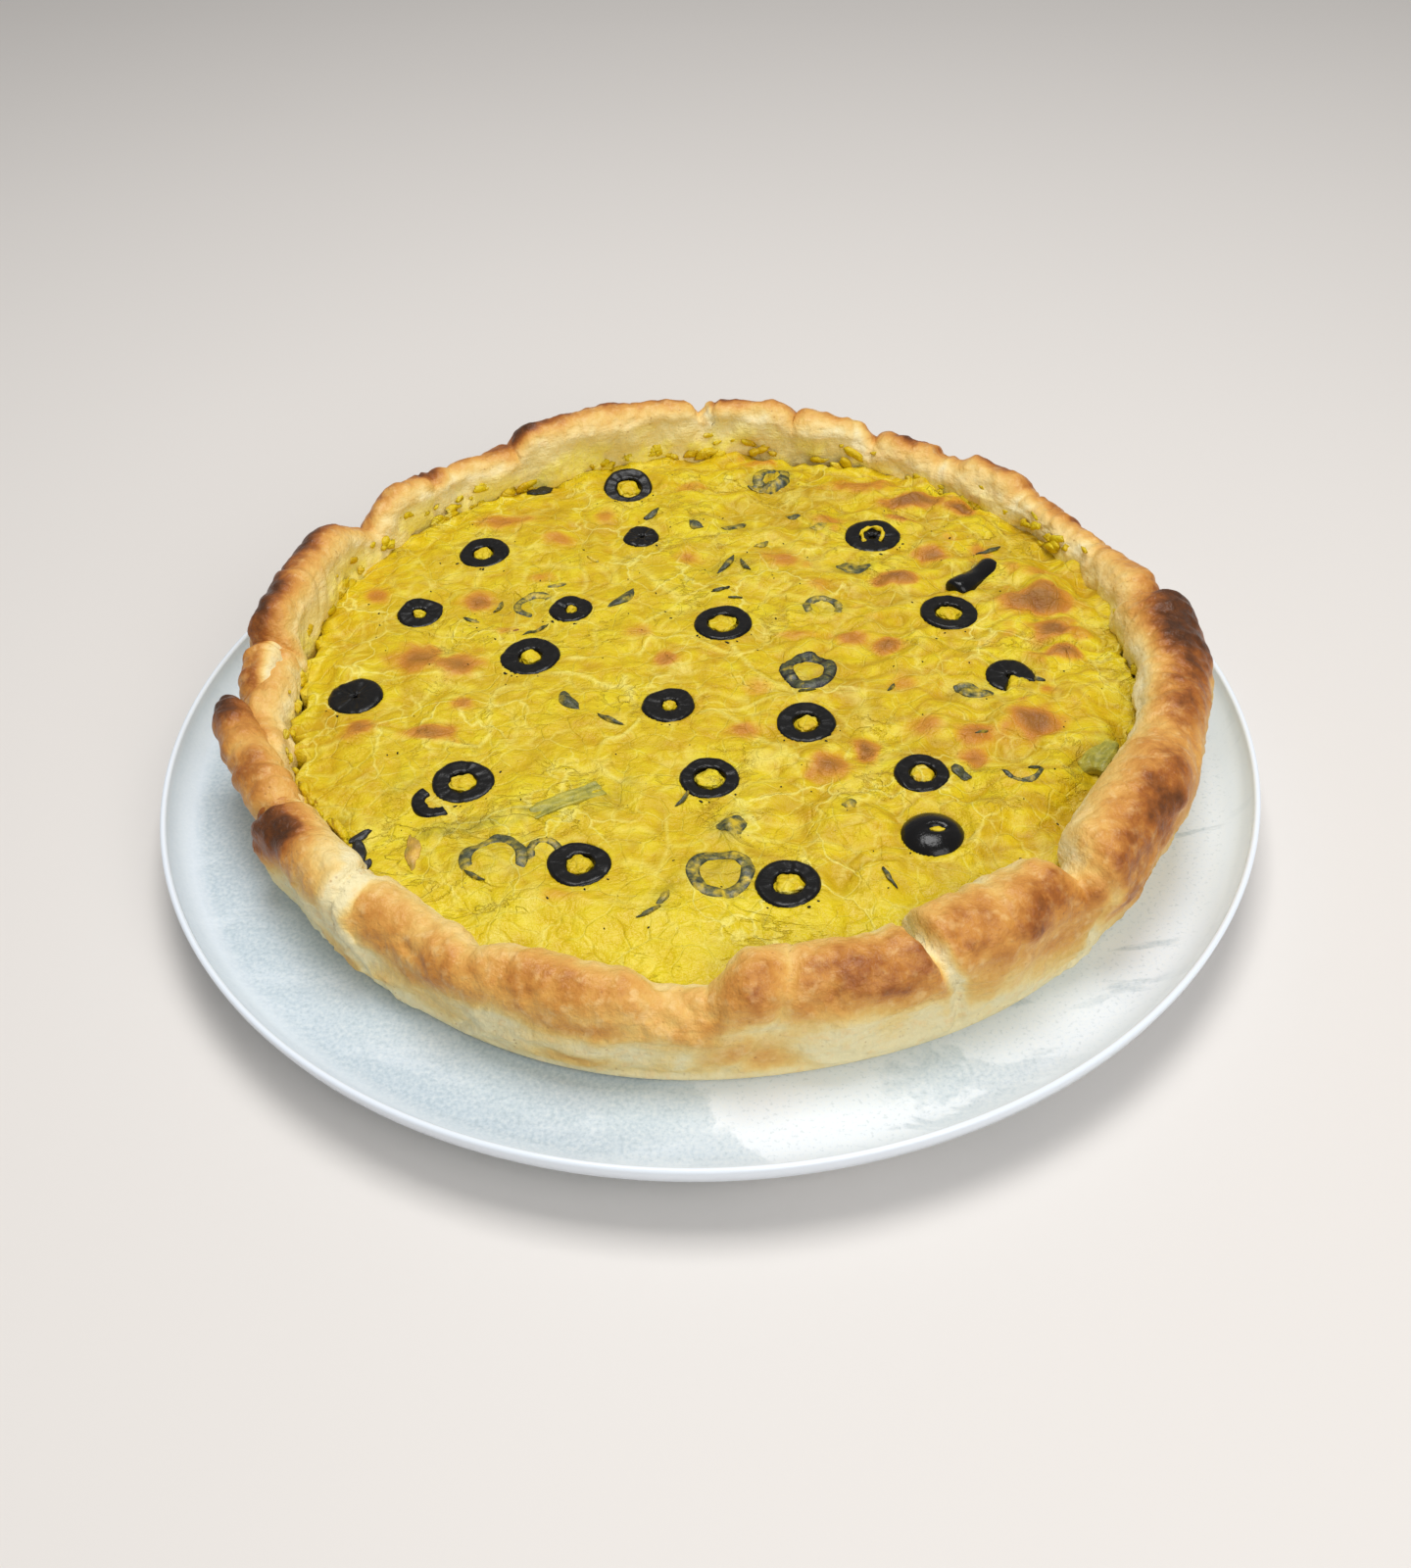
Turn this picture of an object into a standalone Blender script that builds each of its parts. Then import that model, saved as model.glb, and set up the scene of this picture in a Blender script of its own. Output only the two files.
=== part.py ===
"""Quiche with a hand-folded puff pastry crust, black olives and courgette in the filling, on its plate.

Frame: metres, +Z up, origin on the table under the middle of the plate, -Y towards the front.
The tart stands a little off the plate's centre. Heights of the tart are counted from its underside.
"""

import math

import bmesh
import bpy
from mathutils import Matrix, Vector, noise

GAP = 0.0003                      # clearance between pieces that touch

PLATE_RADIUS = 0.157
PLATE_HEIGHT = 0.021
PLATE_WELL_RADIUS = 0.1465
PLATE_WELL_HEIGHT = 0.011
PLATE_THICKNESS = 0.005
PLATE_LIP = 0.0034
PLATE_FOOT_RADIUS = 0.098
PLATE_FOOT_WIDTH = 0.006
PLATE_STEPS = 48

TART_CENTRE = Vector((0.0036, 0.0090, PLATE_WELL_HEIGHT + GAP))
TART_STEPS = 84
BASE_RADIUS = 0.1336
BASE_CORNER = 0.0024
BASE_THICKNESS = 0.004
WALL_BULGE = 0.0012
WALL_FOOT = 0.0085                # thickness of the wall where it leaves the base
RIM_LOW = 0.0266                  # the rim between its folds, halfway round
RIM_RISE = 0.0022                 # how much higher it is at the back, and lower at the front
RIM_THICKNESS = 0.010
ROLL_ARC = 6                      # faces over the top of the rim

FILLING_LEVEL = 0.0250
FILLING_GAP = 0.0006
FILLING_RINGS = (0.965, 0.84, 0.60, 0.30)

OLIVE_THICKNESS = 0.0042
OLIVE_PROUD = 0.0009              # how far a slice stands out of the filling
OLIVE_STEPS = 10
OLIVE_SKIN = 0.0009               # height of the rounding round a slice
CAP_STEPS = 14
CAP_SUNK = 0.0022                 # how deep the domed end of an olive sits
CAP_SKIRT = 0.0006                # how far it goes on below its widest place
CUT_ABOVE = 0.010                 # how far a cutter reaches above the piece it makes room for
CAGE_SWELL = 1.12                 # a cage is larger than the smooth piece inside it

# The folds of the rim, counter-clockwise seen from above, 0 degrees to the right:
# start, end, softness of both ends (degrees), crest height, thickness, outward push (millimetres).
FOLDS = (
    (5, 23, 7, 32.5, 10.5, -0.5),     # back right, low and thin
    (21, 37, 5, 31.0, 12.5, 0.0),     # back right, first flap
    (36, 51, 4, 35.0, 12.0, 0.5),     # back right, second flap
    (50, 67, 5, 34.5, 12.5, 0.5),     # back right, third flap
    (64, 80, 6, 37.0, 12.0, 0.0),     # back, slope up to the lump
    (75, 90, 5, 42.5, 12.5, 0.5),     # back, lump beside the notch
    (87, 123, 5, 42.0, 10.5, 0.0),    # back, long thin crest
    (118, 136, 6, 34.5, 10.0, 0.5),   # back left, low
    (132, 147, 6, 38.0, 10.5, 1.0),   # back left, small peak
    (144, 179, 8, 41.0, 12.0, 2.8),   # left, rising crest
    (174, 187, 4, 36.0, 14.0, 2.0),   # left, dark knob
    (183, 200, 5, 31.0, 13.5, 5.0),   # left, free tip of a roll
    (192, 209, 6, 31.0, 15.0, 2.0),   # left, the roll behind that tip
    (205, 224, 5, 32.5, 15.5, 1.5),   # left front, roll tucked under the next
    (219, 242, 7, 25.5, 15.0, -1.0),  # front left, start of the long roll
    (238, 264, 7, 29.0, 16.5, 0.0),   # front left, end of the long roll
    (266, 293, 6, 34.5, 19.0, 0.5),   # front right, first roll
    (289, 314, 6, 35.0, 20.5, 0.5),   # front right, second roll
    (309, 369, 8, 38.5, 20.5, 4.5),   # right, thick dark roll
)

# Olives: name, x and y (millimetres on the plate), diameter, hole (millimetres),
# open arc from and to (degrees, equal for a closed slice), lean towards the front (degrees).
OLIVES = (
    ("olive_01", -23.0, 110.5, 17.0, 6.4, 0, 0, 20),
    ("olive_02", -18.4, 76.8, 13.0, 2.4, 190, 350, 4),
    ("olive_03", -69.2, 73.0, 16.4, 5.0, 0, 0, 6),
    ("olive_04", -86.4, 41.6, 14.6, 3.2, 0, 0, 8),
    ("olive_05", -40.8, 39.6, 15.0, 3.6, 150, 235, 3),
    ("olive_06", -51.1, 16.2, 18.0, 5.6, 0, 0, 2),
    ("olive_07", -100.8, 1.1, 16.6, 0.0, 0, 0, 3),
    ("olive_08", -10.4, -9.6, 15.8, 3.6, 0, 0, 2),
    ("olive_09", 6.2, 28.7, 17.8, 7.4, 0, 0, 0),
    ("olive_10", 55.5, 73.8, 18.6, 6.6, 40, 66, 5),
    ("olive_12", 74.1, 30.2, 17.8, 6.6, 0, 0, 0),
    ("olive_13", 87.6, -1.2, 15.0, 3.2, 232, 338, 0),
    ("olive_14", 27.8, -19.5, 17.2, 6.0, 0, 0, 3),
    ("olive_15", 0.4, -42.0, 16.6, 6.4, 18, 62, 4),
    ("olive_16", 57.0, -43.0, 15.6, 5.8, 0, 0, 0),
    ("olive_18", 18.6, -82.1, 17.4, 6.4, 0, 0, 0),
    ("olive_19", -33.9, -72.4, 16.8, 6.0, 0, 0, 0),
    ("olive_20", -66.4, -38.8, 17.4, 5.8, 0, 0, 6),
)
OLIVE_CURL = ("olive_11", 84.6, 48.4, 19.5, 8.6, 6.4, 42)    # length, width, height, turn
OLIVE_CAP = ("olive_17", 56.9, -66.2, 17.2, 4.6)            # diameter, height
OLIVE_CHIP = ("olive_21", -75.6, -49.0, 9.4, 5.6, 4.0, 62)   # length, width, height, turn
COURGETTE_STRIP = ("courgette_strip", -38.0, -48.2, 21.0, 6.6, 3.6, 24)
COURGETTE_CHUNK = ("courgette_chunk", 106.2, -36.0, 14.5, 10.0, 6.0, 58)

MM = 0.001


def clear_scene():
    for old in list(bpy.data.objects):
        bpy.data.objects.remove(old)


def new_collection(name, hidden=False):
    made = bpy.data.collections.new(name)
    bpy.context.scene.collection.children.link(made)
    made.hide_render = hidden
    return made


def material(name, colour, roughness):
    made = bpy.data.materials.new(name)
    made.use_nodes = True
    shader = made.node_tree.nodes["Principled BSDF"]
    shader.inputs["Base Color"].default_value = (*colour, 1.0)
    shader.inputs["Roughness"].default_value = roughness
    shader.inputs["Metallic"].default_value = 0.0
    return made


def add_object(name, mesh, collection, surface=None):
    """Links a mesh as an object, with its surface; a piece with none is a cutter."""
    made = bpy.data.objects.new(name, mesh)
    collection.objects.link(made)
    if surface is None:
        made.hide_render = True
        made.display_type = "WIRE"
    else:
        mesh.materials.append(surface)
        mesh.shade_smooth()
        mesh.set_sharp_from_angle(angle=math.radians(50))
    return made


def mesh_from(bm, name):
    bmesh.ops.recalc_face_normals(bm, faces=bm.faces)
    mesh = bpy.data.meshes.new(name)
    bm.to_mesh(mesh)
    bm.free()
    return mesh


def profile_mesh(name, points, closed):
    """A wire in the XZ plane, for a Screw modifier."""
    mesh = bpy.data.meshes.new(name)
    edges = [(i, i + 1) for i in range(len(points) - 1)]
    if closed:
        edges.append((len(points) - 1, 0))
    mesh.from_pydata([(x, 0.0, z) for x, z in points], edges, [])
    return mesh


def add_screw(obj, steps):
    screw = obj.modifiers.new("Turn", "SCREW")
    screw.axis = "Z"
    screw.steps = steps
    screw.render_steps = steps
    screw.use_merge_vertices = True
    screw.merge_threshold = 0.00005


def ease(x):
    x = min(max(x, 0.0), 1.0)
    return x * x * (3.0 - 2.0 * x)


# ---- plate ----

def plate_profile():
    """From the middle of the well over the lip, under the plate and round its foot ring."""
    rise = PLATE_HEIGHT - PLATE_WELL_HEIGHT
    reach = PLATE_RADIUS - PLATE_LIP - PLATE_WELL_RADIUS
    under = PLATE_WELL_HEIGHT - PLATE_THICKNESS
    foot_out = PLATE_FOOT_RADIUS
    foot_in = PLATE_FOOT_RADIUS - PLATE_FOOT_WIDTH
    points = [(0.0, PLATE_WELL_HEIGHT), (PLATE_WELL_RADIUS, PLATE_WELL_HEIGHT)]
    for k in range(1, 5):
        turn = k / 5 * math.pi / 2
        points.append((PLATE_WELL_RADIUS + reach * math.sin(turn),
                       PLATE_WELL_HEIGHT + (rise - PLATE_LIP / 3) * (1 - math.cos(turn))))
    for k in range(5):
        turn = math.pi * (1 - k / 4)
        points.append((PLATE_RADIUS - PLATE_LIP / 2 * (1 - math.cos(turn)),
                       PLATE_HEIGHT - PLATE_LIP / 2 * (1 - math.sin(turn))))
    points.append((PLATE_RADIUS - 0.0030, PLATE_HEIGHT - 0.0075))
    points.append((PLATE_WELL_RADIUS - 0.002, under))
    points.append((foot_out + 0.002, under - 0.0005))
    points.append((foot_out, 0.0012))
    points.append((foot_out - 0.0012, 0.0))
    points.append((foot_in + 0.0012, 0.0))
    points.append((foot_in, 0.0012))
    points.append((foot_in - 0.002, under - 0.0005))
    points.append((0.0, under - 0.0005))
    return points


def make_plate(collection, surface):
    mesh = profile_mesh("plate", plate_profile(), closed=False)
    add_screw(add_object("plate", mesh, collection, surface), PLATE_STEPS)


# ---- crust ----

def fold_share(degrees, start, end, soft):
    """How far an angle is inside a fold, 0 to 1, easing over its soft ends."""
    shares = []
    for turned in (degrees - 360.0, degrees, degrees + 360.0):
        shares.append(ease((turned - start) / soft) * ease((end - turned) / soft))
    return max(shares)


def rim(angle):
    """Crest height, thickness and outward push of the rim at an angle, in metres."""
    degrees = math.degrees(angle) % 360.0
    low = RIM_LOW + RIM_RISE * math.sin(angle)
    crest = low
    thickness = RIM_THICKNESS
    push = 0.0
    for start, end, soft, high, wide, out in FOLDS:
        share = fold_share(degrees, start, end, soft)
        crest = max(crest, low + (high * MM - low) * share)
        thickness = max(thickness, RIM_THICKNESS + (wide * MM - RIM_THICKNESS) * share)
        push += out * MM * share
    return crest, thickness, push


def base_radius(angle):
    return BASE_RADIUS + 0.0007 * math.sin(3 * angle + 0.6) + 0.0005 * math.sin(7 * angle + 2.1)


def filling_edge(angle):
    """Height of the filling where it meets the crust: lowest at the front."""
    front = max(0.0, -math.sin(angle))
    return FILLING_LEVEL - 0.0024 - 0.0012 * front ** 2 + 0.0005 * math.sin(5 * angle + 1.0)


class Section:
    """The crust cut through at an angle: a wall under a rounded rim."""

    def __init__(self, angle):
        crest, thickness, push = rim(angle)
        self.base = base_radius(angle)
        self.outer = self.base + WALL_BULGE + push
        self.half = thickness / 2
        self.cap = min(self.half, 0.0095)
        self.hub = self.outer - self.half
        self.hub_height = crest - self.cap
        self.foot = self.base - WALL_FOOT
        self.foot_height = BASE_THICKNESS + 0.003
        self.edge_height = filling_edge(angle)
        lift = max(self.edge_height - self.hub_height, 0.0) / self.cap
        self.contact = self.hub - self.half * math.sqrt(max(1.0 - lift * lift, 0.0))
        if lift == 0.0:
            part = (self.edge_height - self.foot_height) / (self.hub_height - self.foot_height)
            self.contact = self.foot + (self.hub - self.half - self.foot) * part

    def points(self):
        """Radius and height, from under the base over the rim to the floor inside."""
        middle = self.base + (self.outer - self.base) * 0.7 + 0.0006
        found = [
            (self.base - BASE_CORNER, 0.0),
            (self.base - BASE_CORNER * 0.3, BASE_CORNER * 0.3),
            (self.base, BASE_CORNER),
            (middle, self.hub_height * 0.55),
            (self.outer, self.hub_height),
        ]
        lift = max(self.edge_height + 0.0005 - self.hub_height, 0.0) / self.cap
        last = math.pi - math.asin(min(lift, 0.95))
        for k in range(1, ROLL_ARC + 1):
            turn = last * k / ROLL_ARC
            found.append((self.hub + self.half * math.cos(turn),
                          self.hub_height + self.cap * math.sin(turn)))
        found.append((self.contact, self.edge_height))
        found.append((self.foot, self.foot_height))
        found.append((self.foot - 0.003, BASE_THICKNESS))
        return found


def ring_angles():
    return [2 * math.pi * i / TART_STEPS for i in range(TART_STEPS)]


def on_tart(radius, angle, height):
    return TART_CENTRE + Vector((radius * math.cos(angle), radius * math.sin(angle), height))


def loft(name, columns, low_centre, high_centre, inward):
    """Closes a ring of point columns with a fan at each end.

    Inward columns start at the rim of a shell and outward ones fill it, so their triangles match.
    """
    bm = bmesh.new()
    rows = [[bm.verts.new(point) for point in column] for column in columns]
    for here, there in zip(rows, rows[1:] + rows[:1]):
        for k in range(len(here) - 1):
            if inward:
                bm.faces.new((here[k], there[k], there[k + 1]))
                bm.faces.new((here[k], there[k + 1], here[k + 1]))
            else:
                bm.faces.new((here[k], there[k], here[k + 1]))
                bm.faces.new((there[k], there[k + 1], here[k + 1]))
    for centre, end in ((low_centre, 0), (high_centre, -1)):
        middle = bm.verts.new(centre)
        for here, there in zip(rows, rows[1:] + rows[:1]):
            bm.faces.new((here[end], there[end], middle))
    return mesh_from(bm, name)


def make_crust(collection, surface):
    columns = []
    for angle in ring_angles():
        columns.append([on_tart(r, angle, h) for r, h in Section(angle).points()])
    mesh = loft("crust", columns, on_tart(0, 0, 0), on_tart(0, 0, BASE_THICKNESS), inward=True)
    add_object("crust", mesh, collection, surface)


# ---- filling ----

def filling_height(x, y):
    """Height of the filling's skin above the tart's underside, x and y from the tart's centre."""
    angle = math.atan2(y, x)
    edge = Section(angle).contact - FILLING_GAP
    part = min(math.hypot(x, y) / edge, 1.0)
    lumps = noise.noise(Vector((x * 24, y * 24, 3.7))) * 0.0009
    lumps += noise.noise(Vector((x * 60, y * 60, 9.1))) * 0.0004
    inside = FILLING_LEVEL + 0.0010 * (1 - part * part) + lumps
    share = ease((part - 0.80) / 0.20)
    return inside + (filling_edge(angle) - inside) * share * share


def make_filling(collection, surface, cutters):
    columns = []
    floor = BASE_THICKNESS + GAP
    for angle in ring_angles():
        section = Section(angle)
        edge = section.contact - FILLING_GAP
        column = [
            on_tart(section.foot - 0.003 - FILLING_GAP, angle, floor),
            on_tart(section.foot - FILLING_GAP, angle, section.foot_height),
            on_tart(edge, angle, section.edge_height),
        ]
        for share in FILLING_RINGS:
            x = edge * share * math.cos(angle)
            y = edge * share * math.sin(angle)
            column.append(TART_CENTRE + Vector((x, y, filling_height(x, y))))
        columns.append(column)
    middle = TART_CENTRE + Vector((0, 0, filling_height(0, 0)))
    mesh = loft("filling", columns, on_tart(0, 0, floor), middle, inward=False)
    filling = add_object("filling", mesh, collection, surface)
    pockets = filling.modifiers.new("Pockets", "BOOLEAN")
    pockets.operation = "DIFFERENCE"
    pockets.operand_type = "COLLECTION"
    pockets.collection = cutters
    pockets.solver = "EXACT"


# ---- what lies in the filling ----

def seat(x, y, lean=0.0, turn=0.0, drop=0.0):
    """Places a piece on the filling's skin at x, y on the plate, in millimetres."""
    from_centre = Vector((x * MM, y * MM, 0)) - TART_CENTRE
    height = filling_height(from_centre.x, from_centre.y)
    spot = Vector((x * MM, y * MM, TART_CENTRE.z + height - drop))
    tilt = Matrix.Rotation(math.radians(lean), 4, "X")
    return Matrix.Translation(spot) @ tilt @ Matrix.Rotation(math.radians(turn), 4, "Z")


def slice_profile(radius, hole, half, side):
    """Half of a slice's section: flat faces, rounded skin outside."""
    return [(hole, half), (radius - side, half), (radius, 0.0), (radius - side, -half), (hole, -half)]


def slice_mesh(name, points, arc_start, arc_end):
    """A slice, or the arc of one that runs from arc_end round to arc_start."""
    bm = bmesh.new()
    sweep = math.radians(360 - (arc_end - arc_start))
    turn = Matrix.Rotation(math.radians(arc_end), 3, "Z")
    verts = [bm.verts.new(turn @ Vector((x, 0, z))) for x, z in points]
    section = bm.faces.new(verts)
    bmesh.ops.spin(bm, geom=[section, *section.edges, *section.verts], cent=(0, 0, 0),
                   axis=(0, 0, 1), angle=sweep, steps=OLIVE_STEPS)
    return mesh_from(bm, name)


def make_olive_slice(spec, collection, surface, cutters):
    name, x, y, diameter, hole, arc_start, arc_end, lean = spec
    radius = diameter * MM / 2
    inner = hole * MM / 2
    half = OLIVE_THICKNESS / 2
    at = seat(x, y, lean, drop=half - OLIVE_PROUD)
    points = slice_profile(radius, inner, half, OLIVE_SKIN)
    top = half + CUT_ABOVE
    if inner == 0.0:
        cut_points = [(0, top), (radius + GAP, top), (radius + GAP, -half - GAP), (0, -half - GAP)]
    else:
        cut_points = [(inner - GAP, top), (radius + GAP, top), (radius + GAP, -half - GAP),
                      (inner - GAP, -half - GAP)]
    if arc_start == arc_end:
        closed = inner > 0.0
        olive = add_object(name, profile_mesh(name, points, closed), collection, surface)
        add_screw(olive, OLIVE_STEPS)
        cutter = add_object(name + "_pocket", profile_mesh(name + "_pocket", cut_points, closed), cutters)
        add_screw(cutter, OLIVE_STEPS)
    else:
        olive = add_object(name, slice_mesh(name, points, arc_start, arc_end), collection, surface)
        spare = math.degrees(1.5 * GAP / max(inner, 0.001))
        mesh = slice_mesh(name + "_pocket", cut_points, arc_start + spare, arc_end - spare)
        cutter = add_object(name + "_pocket", mesh, cutters)
    olive.matrix_world = at
    cutter.matrix_world = at


def make_olive_cap(spec, collection, surface, cutters):
    """The domed end of an olive, cut face down."""
    name, x, y, diameter, height = spec
    radius = diameter * MM / 2
    at = seat(x, y, drop=CAP_SUNK)
    points = []
    for k in range(5):
        turn = math.pi / 2 * (1 - k / 4)
        points.append((radius * math.cos(turn), height * MM * math.sin(turn)))
    points[0] = (0.0, height * MM)
    points.append((radius * 0.96, -CAP_SKIRT))
    points.append((0.0, -CAP_SKIRT))
    cap = add_object(name, profile_mesh(name, points, closed=False), collection, surface)
    add_screw(cap, CAP_STEPS)
    top = height * MM + CUT_ABOVE
    under = -CAP_SKIRT - GAP
    cut_points = [(0, top), (radius + GAP, top), (radius + GAP, under), (0, under)]
    cutter = add_object(name + "_pocket", profile_mesh(name + "_pocket", cut_points, False), cutters)
    add_screw(cutter, CAP_STEPS)
    cap.matrix_world = at
    cutter.matrix_world = at


def make_piece(spec, proud, collection, surface, cutters, waist=1.0):
    """A small soft-edged piece that lies half sunk: a cage with a subdivided surface."""
    name, x, y, length, width, height, turn = spec
    size = Vector((length, width, height)) * MM
    at = seat(x, y, turn=turn, drop=size.z / 2 - proud)
    bm = bmesh.new()
    bmesh.ops.create_cube(bm, size=1.0)
    bmesh.ops.bisect_plane(bm, geom=[*bm.verts, *bm.edges, *bm.faces],
                           plane_co=(0, 0, 0), plane_no=(1, 0, 0))
    for vert in bm.verts:
        narrow = waist if abs(vert.co.x) < 0.1 else 1.0
        vert.co.x *= size.x * CAGE_SWELL
        vert.co.y *= size.y * CAGE_SWELL * narrow
        vert.co.z *= size.z * CAGE_SWELL
    piece = add_object(name, mesh_from(bm, name), collection, surface)
    soften = piece.modifiers.new("Soften", "SUBSURF")
    soften.levels = 1
    soften.render_levels = 1
    piece.matrix_world = at
    bm = bmesh.new()
    bmesh.ops.create_cube(bm, size=1.0)
    for vert in bm.verts:
        vert.co.x *= size.x + 2 * GAP
        vert.co.y *= size.y + 2 * GAP
        vert.co.z = -size.z / 2 - GAP if vert.co.z < 0 else CUT_ABOVE
    cutter = add_object(name + "_pocket", mesh_from(bm, name + "_pocket"), cutters)
    cutter.matrix_world = at


def main():
    clear_scene()
    parts = new_collection("quiche")
    cutters = new_collection("cutters", hidden=True)
    ceramic = material("plate_glaze", (0.62, 0.67, 0.69), 0.15)
    pastry = material("puff_pastry", (0.68, 0.42, 0.16), 0.55)
    custard = material("filling", (0.74, 0.56, 0.05), 0.45)
    olive = material("black_olive", (0.012, 0.011, 0.010), 0.25)
    green = material("courgette", (0.30, 0.29, 0.09), 0.5)
    make_plate(parts, ceramic)
    make_crust(parts, pastry)
    for spec in OLIVES:
        make_olive_slice(spec, parts, olive, cutters)
    make_piece(OLIVE_CURL, 0.0030, parts, olive, cutters, waist=0.8)
    make_olive_cap(OLIVE_CAP, parts, olive, cutters)
    make_piece(OLIVE_CHIP, 0.0010, parts, olive, cutters)
    make_piece(COURGETTE_STRIP, 0.0008, parts, green, cutters)
    make_piece(COURGETTE_CHUNK, 0.0016, parts, green, cutters)
    make_filling(parts, custard, cutters)


main()
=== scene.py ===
import math

import bpy
import numpy as np
from mathutils import Matrix, Vector, noise


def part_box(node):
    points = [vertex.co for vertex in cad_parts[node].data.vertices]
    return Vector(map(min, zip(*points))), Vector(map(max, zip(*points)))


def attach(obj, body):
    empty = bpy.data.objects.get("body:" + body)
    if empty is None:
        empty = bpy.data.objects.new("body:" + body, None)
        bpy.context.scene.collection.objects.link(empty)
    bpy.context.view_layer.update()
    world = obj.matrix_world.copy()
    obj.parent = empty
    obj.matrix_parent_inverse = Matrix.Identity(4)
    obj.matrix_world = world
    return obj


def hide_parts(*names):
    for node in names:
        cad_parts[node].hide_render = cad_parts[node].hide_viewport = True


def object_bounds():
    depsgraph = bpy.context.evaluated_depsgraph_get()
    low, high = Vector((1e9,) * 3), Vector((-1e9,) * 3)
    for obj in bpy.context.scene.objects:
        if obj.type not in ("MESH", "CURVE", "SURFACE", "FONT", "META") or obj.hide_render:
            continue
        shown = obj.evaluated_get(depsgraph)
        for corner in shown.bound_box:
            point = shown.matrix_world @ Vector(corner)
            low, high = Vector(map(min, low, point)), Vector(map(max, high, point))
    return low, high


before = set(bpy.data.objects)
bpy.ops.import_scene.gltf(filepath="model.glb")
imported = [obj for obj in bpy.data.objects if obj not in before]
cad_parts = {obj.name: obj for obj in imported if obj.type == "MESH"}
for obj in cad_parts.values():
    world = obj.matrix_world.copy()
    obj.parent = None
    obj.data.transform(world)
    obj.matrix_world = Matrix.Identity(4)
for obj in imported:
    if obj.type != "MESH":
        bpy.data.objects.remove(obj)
cadLow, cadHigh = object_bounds()
mm = 0.001


# small helpers for meshes

def addPrimitive(operator, name, **settings):
    bpy.ops.object.select_all(action="DESELECT")
    operator(**settings)
    piece = bpy.context.object
    piece.name = name
    piece.data.name = name
    return piece


def getPlaces(piece):
    places = np.empty(len(piece.data.vertices) * 3)
    piece.data.vertices.foreach_get("co", places)
    return places.reshape(-1, 3)


def setPlaces(piece, places):
    piece.data.vertices.foreach_set("co", np.ascontiguousarray(places, dtype=np.float32).ravel())
    piece.data.update()


def addValues(piece, **named):
    # a number or an array for each point, under each name
    count = len(piece.data.vertices)
    for name, values in named.items():
        made = piece.data.attributes.new(name, "FLOAT", "POINT")
        made.data.foreach_set("value", np.float32(values + np.zeros(count)))


def pick(*pieces):
    # only these pieces are selected, and the first is the active one
    bpy.ops.object.select_all(action="DESELECT")
    for piece in pieces:
        piece.select_set(True)
    bpy.context.view_layer.objects.active = pieces[0]


def inEditMode(piece, *steps):
    pick(piece)
    bpy.ops.object.mode_set(mode="EDIT")
    bpy.ops.mesh.select_all(action="SELECT")
    for step in steps:
        step()
    bpy.ops.object.mode_set(mode="OBJECT")


def closeUp(piece, distance=0.00002):
    # seams and poles are merged, then all faces turn outwards
    inEditMode(piece,
               lambda: bpy.ops.mesh.remove_doubles(threshold=distance),
               lambda: bpy.ops.mesh.normals_make_consistent(inside=False))


def applyModifiers(piece):
    pick(piece)
    for modifier in list(piece.modifiers):
        bpy.ops.object.modifier_apply(modifier=modifier.name)


def joinPieces(pieces, name):
    pick(*pieces)
    bpy.ops.object.join()
    joined = bpy.context.object
    joined.name = name
    joined.data.name = name
    return joined


def finishPiece(piece, material, nodes=()):
    # the place of a finished piece is in its mesh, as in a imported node
    pick(piece)
    bpy.ops.object.transform_apply(location=True, rotation=True, scale=True)
    bpy.ops.object.shade_smooth()
    piece.data.materials.clear()
    piece.data.materials.append(material)
    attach(piece, "root")
    if nodes:
        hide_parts(*nodes)
    return piece


def middleOf(node, dx=0.0, dy=0.0):
    # the middle of a node seen from above, moved by that many millimetres
    low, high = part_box(node)
    return (low.x + high.x) / 2 + dx * mm, (low.y + high.y) / 2 + dy * mm


# small helpers for shapes

def ease(x):
    x = np.clip(x, 0.0, 1.0)
    return x * x * (3.0 - 2.0 * x)


def grain(places, size, shift=0.0):
    # soft noise from about -0.6 to 0.6 at every place, with lumps of that size
    scaled = places / size + shift
    return np.array([noise.noise(Vector(p)) for p in scaled.tolist()])


def seeds(places, size, shift):
    # how far the nearest and the second seed of a pattern of that size lie from every place
    scaled = places / size + shift
    return np.array([noise.voronoi(Vector(p))[0][:2] for p in scaled.tolist()]).T


def cells(places, size, shift=0.0):
    # 0 on the borders of cells of that size, rising towards their middles
    nearest, second = seeds(places, size, shift)
    return second - nearest


def domeCells(places, size, shift=0.0):
    # rounded bumps of that size, 1 at their tops and about 0 in the creases between them
    return 1 - np.minimum(seeds(places, size, shift)[0] / 0.8, 1.0) ** 1.7


def wander(places, amount, size, firstShift, secondShift):
    # the places pushed about sideways, so that a pattern on them doesn't run straight
    first, second = grain(places, size, firstShift), grain(places, size, secondShift)
    return places + amount * np.stack([first, second, 0 * first], axis=-1)


def bellAt(x, middle, width):
    return np.exp(-((x - middle) / width) ** 2)


def turnFrom(degrees, middle):
    # signed difference between two directions
    return (degrees - middle + 180.0) % 360.0 - 180.0


# small helpers for materials

def tone(red, green, blue):
    # screen colour to the renderer's own
    found = []
    for part in (red, green, blue):
        part = part / 255.0
        found.append(part / 12.92 if part <= 0.04045 else ((part + 0.055) / 1.055) ** 2.4)
    return (*found, 1.0)


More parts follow.
